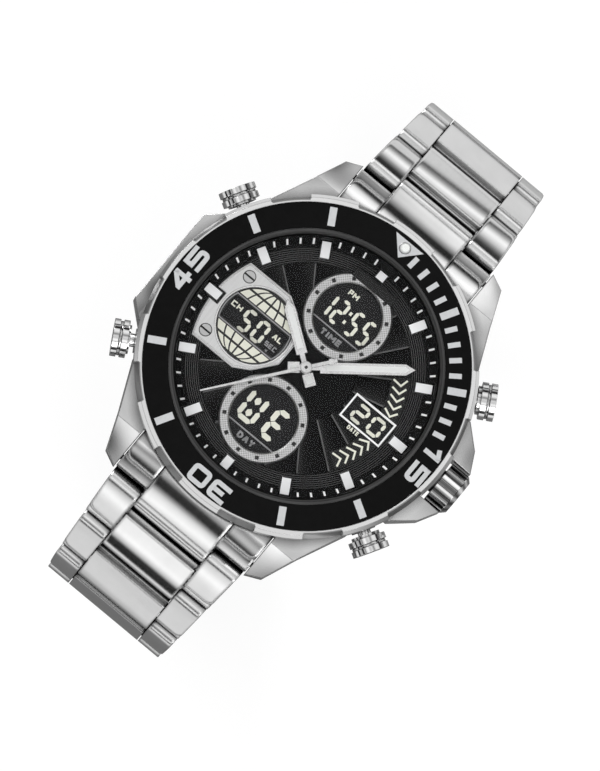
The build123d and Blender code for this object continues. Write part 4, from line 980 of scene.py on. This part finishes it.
# Painted shade: the cuts make the colour lighter and darker, and sharp edges darken it.
tone = metal_share * (0.3 + 0.45 * cut_grid_and_shade + 0.25 * ring_silver.clouds(3000))
ring_silver.feed("Base Color", ring_silver.tint(tone * ring_silver.edge_shade(0.12, 3), 0.02, 0.85))
ring_silver.feed("Metallic", metal_share)
ring_silver.feed("Roughness", 0.26 + 0.16 * cut_grid_and_shade)
ring_silver.relief(cut_grid_and_shade, 0.012, 0.06)
dress(ring_silver, "subdial_rings")


# Seconds plate
# A satin steel plate at 9 o'clock, brushed towards 12, with a polished edge and a ring round its
# round window. Two slotted screws hold it to the dial.
plate_silver = Finish("plate_silver", Metallic=1)
brushing = plate_silver.clouds(3500, 2, (1, 0.04, 1))
# Painted shade: the colour darkens along the plate's sharp edges.
plate_tone = (0.75 + 0.25 * brushing) * plate_silver.edge_shade(0.2, 6)
plate_silver.feed("Base Color", plate_silver.tint(plate_tone, 0.12, 0.8))
plate_silver.feed("Roughness", 0.28 + 0.16 * brushing)
plate_silver.relief(brushing, 0.003, 0.1)
dress(plate_silver, "seconds_plate")
dress(plain, "seconds_plate_screws")
plate_top = top_of("seconds_plate")


def shifted(shape, sideways, outward):
    """A shape moved over the dial."""
    points, faces = shape
    return points + (sideways, outward, 0), faces


left_centre, left_reach, rim_corner = -0.99, 14.71, 5.95
left_y = np.linspace(1.15, rim_corner, 8)
left_arc = np.column_stack([left_centre - np.sqrt(left_reach**2 - left_y**2), left_y])
right_side = np.array([(-7.68, rim_corner), (-5.52, 4.78), (-3.2, 1.84)])
rim_path = np.concatenate([left_arc, right_side])
rim_path = np.concatenate([rim_path * (1, -1), rim_path[::-1]])
rim_low, rim_high = plate_top - 0.03, plate_top + 0.05
window_rim = plaque(5.17, 5.42, rim_high, rim_low)
make_piece(
    "seconds_plate_rim",
    [
        stroke(rim_path, 0.18, rim_low, rim_high),
        shifted(turned_ring(window_rim, 96), seconds_x, 0),
    ],
    polished, "case",
)

# Painted shadow: a dark ring lies round each of the plate's screws and a dark line in its slot.
shadow_gap = plaque(0.74, 0.9, plate_top + 0.02, plate_top - 0.02)
screw_x, screw_y = -13.5, 4.6
screw_top = top_of("seconds_plate_screws")
slots = [
    shifted(raised([around(90, bar(0.2, -0.7, 0.7))], screw_top - 0.08, screw_top + 0.01),
            screw_x, way * screw_y)
    for way in (1, -1)
]
make_piece(
    "plate_screw_shadows",
    [shifted(turned_ring(shadow_gap, 32), screw_x, way * screw_y) for way in (1, -1)] + slots,
    panel, "case",
)


# Globe disc
# A black printed disc behind the seconds. Cream cells between its curved meridians leave the
# lines of a plain globe, and a grey line frames the band of figures.
globe_black = mottled("globe_black", (0.008, 0.014, 900), (0.35, 0.1, 2500), (6000, 0.002))
dress(globe_black, "globe_disc")
globe_top, globe_reach, cell_gap, meridians = top_of("globe_disc"), 5.0, 0.12, 3
cells = []
for low, high in ((2.25, 3.3), (3.6, 4.7)):
    rise = np.linspace(low, high, 6)
    width = np.sqrt(globe_reach**2 - rise**2) / meridians
    for west in range(-meridians, meridians):
        left = np.column_stack([width * west + cell_gap, rise])
        right = np.column_stack([width * (west + 1) - cell_gap, rise])
        cell = np.concatenate([right, left[::-1]])
        cells += [cell, (cell * (1, -1))[::-1]]
globe_cells = raised(np.array(cells) + (seconds_x, 0), globe_top - 0.02, globe_top + 0.02)
# The cells carry the cream's painted glow.
make_piece("globe_cells", [globe_cells], cream, "case")
band_top, band_low, band_reach = 2.0, -2.03, 4.95
east = np.linspace(band_low, band_top, 10)
east = np.column_stack([np.sqrt(band_reach**2 - east**2), east])
west = east[::-1] * (-1, 1)
band_frame = stroke(
    np.concatenate([east, west]) + (seconds_x, 0), 0.16, globe_top - 0.02, globe_top + 0.03, True
)
make_piece("globe_band_frame", [band_frame], ink, "case")


# Hands
# Stamped brass, plated bright, each on its own tube. The hour and minute hands have slots filled
# with white luminous paint, and the second hand is a plain thin needle.
hand_silver = Finish("hand_silver", Metallic=1)
# Painted shade: the colour darkens along the hands' sharp edges.
hand_tone = (0.6 + 0.4 * hand_silver.clouds(900)) * hand_silver.edge_shade(0.12, 4)
hand_silver.feed("Base Color", hand_silver.tint(hand_tone, 0.05, 0.84))
hand_silver.feed("Roughness", 0.2 + 0.12 * hand_silver.clouds(3000))
hand_silver.relief(hand_silver.clouds(9000), 0.001, 0.06)
dress(hand_silver, "hour_hand", "minute_hand", "second_hand")
luminous = mottled(
    "luminous_white", ((0.83, 0.84, 0.83), (0.9, 0.91, 0.9), 3000), (0.5, 0.15, 6000),
    (9000, 0.006, 0.05),
)
fill_half, fill_root, fill_tip, fill_rise = 0.42, 2.7, 0.75, 0.05
for name, degrees, length, tail in (
    ("hour_hand", 305.4, 9.5, 2.6), ("minute_hand", 51.6, 14.65, 2.45),
):
    level = top_of(name)
    shoulder = length - 1.3
    blade = [
        (-fill_half, fill_root), (fill_half, fill_root), (fill_half, shoulder - 0.1),
        (0, length - fill_tip), (-fill_half, shoulder - 0.1),
    ]
    tail_block = bar(0.9, 0.35 - tail, -1.15)
    fills = [
        raised([around(degrees, outline)], level - 0.03, level + fill_rise)
        for outline in (blade, tail_block)
    ]
    make_piece(name + "_fill", fills, luminous, name)
second_top = top_of("second_hand")
pin = mottled(
    "arbor_pin", (0.03, 0.09, 3000), (0.3, 0.1, 5000), (9000, 0.002, 0.04), metallic=1
)
pin_profile = [(0.001, second_top - 0.05), (0.22, second_top - 0.05), (0.22, second_top + 0.04),
               (0.15, second_top + 0.07), (0.001, second_top + 0.07)]
make_piece("second_hand_pin", [turned_ring(pin_profile, 24)], pin, "second_hand")


# Crown, with its stem
# Turned and fluted steel, polished, with painted shade in its flutes, on a steel stem. It pulls straight
# out.
crown = Finish("crown_steel", Metallic=1)
crown_low, crown_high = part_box("crown")
crown_level = (crown_low[2] + crown_high[2]) / 2
aside, above = crown.axis(1), crown.axis(2) - crown_level
from_axis = (aside * aside + above * above) ** 0.5 / MM
flute_count, flute_foot = 12, 2.5
ridge = 0.5 - 0.5 * (flute_count * aside.maths("ARCTAN2", above)).maths("COSINE")
flute_shade_zone = from_axis.maths("GREATER_THAN", flute_foot)
# Painted shade: darker in the flutes' hollows beyond the flutes' foot from the axis, and along sharp edges.
tone = (0.62 + 0.1 * crown.clouds(300)) * (1 - flute_shade_zone * (0.85 - 0.85 * ridge))
crown.feed("Base Color", crown.tint(tone * crown.edge_shade(0.15, 4), 0, 1))
crown.feed("Roughness", 0.05 + 0.06 * crown.clouds(900))
crown.relief(crown.clouds(6000, 2), 0.001, 0.12)
dress(crown, "crown")
dress(plain, "crown_stem")


# Pushers
# Turned steel plungers with a grooved, polished head, each held by a clip inside the case. A
# ring lies in the groove, and a skirt under the head closes round the tube that it runs in.
pusher_steel = steel("pusher_steel", 0.66, 0.78, 0.05, 0.05, 0.08, edge_shade_reach=0.06, seam_shade_reach=0.5)
dress(pusher_steel, "pusher_2", "pusher_4", "pusher_8", "pusher_10")


def laid_outward(shape, degrees, level):
    """A shape turned round Z, tipped over so that Z points outward at a clock angle."""
    points, faces = shape
    flat = around(degrees, np.stack([points[:, 0], points[:, 2]], axis=1))
    return np.column_stack([flat, level + points[:, 1]]), [face[::-1] for face in faces]


pusher_level = (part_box("pusher_2")[0][2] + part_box("pusher_2")[1][2]) / 2 / MM
head_start, groove = 23.9, (24.7, 25.15)
overlap = 0.02
filler = [(2.0, groove[0] - overlap), (2.3, groove[0] - overlap), (2.34, sum(groove) / 2),
          (2.3, groove[1] + overlap), (2.0, groove[1] + overlap)]
for hour, skirt_length in ((2, 0.46), (4, 0.46), (8, 0.3), (10, 0.3)):
    skirt = plaque(1.72, 1.95, head_start + overlap, head_start - skirt_length)
    trims = [
        laid_outward(turned_ring(profile, 64), 30 * hour, pusher_level)
        for profile in (skirt, filler)
    ]
    make_piece(f"pusher_{hour}_trim", trims, pusher_steel, f"pusher_{hour}")


# Bracelet
# Pressed and milled steel links, brushed along the bracelet and then buffed bright, joined by
# pins. The end links fill the space between the lugs and sit on sprung bars.
bracelet = Finish("bracelet_steel", Metallic=1)
brushing = bracelet.clouds(5000, 2, (1, 0.03, 0.03))
tone = 0.6 + 0.1 * bracelet.clouds(300)
# Painted shade: the colour darkens in joints and corners and along sharp edges.
tone = tone * bracelet.seam_shade(1.5) ** 1.5 * bracelet.edge_shade(0.2, 4)
bracelet.feed("Base Color", bracelet.tint(tone, 0, 1))
bracelet.feed("Roughness", 0.05 + 0.07 * brushing)
bracelet.relief(0.6 * bracelet.clouds(170, 0, (0.12, 1, 1)) + 0.0012 * brushing, 1, 0.6)
dress(bracelet, "end_link_12", "end_link_6")
for side in ("12", "6"):
    for place in range(1, 9):
        dress(bracelet, f"link_{side}_{place}")


# Folding clasp
# Two bent steel blades that fold into a pressed cover. Satin outside, where it is seen on the
# wrist, with steel pins through its knuckles.
clasp = Finish("clasp_steel", Metallic=1)
brushing = clasp.clouds(6000, 2, (0.03, 1, 1))
clasp.feed("Base Color", clasp.tint(clasp.clouds(300), 0.62, 0.72))
clasp.feed("Roughness", 0.24 + 0.16 * brushing)
clasp.relief(brushing, 0.003, 0.12)
dress(clasp, "clasp_cover", "clasp_middle_blade", "clasp_inner_blade")
dress(plain, "clasp_cover_pins", "clasp_fold_pin", "clasp_spring_bar")

size = {"cad": [list(corner) for corner in cad_box], "visual": [list(corner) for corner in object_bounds()]}
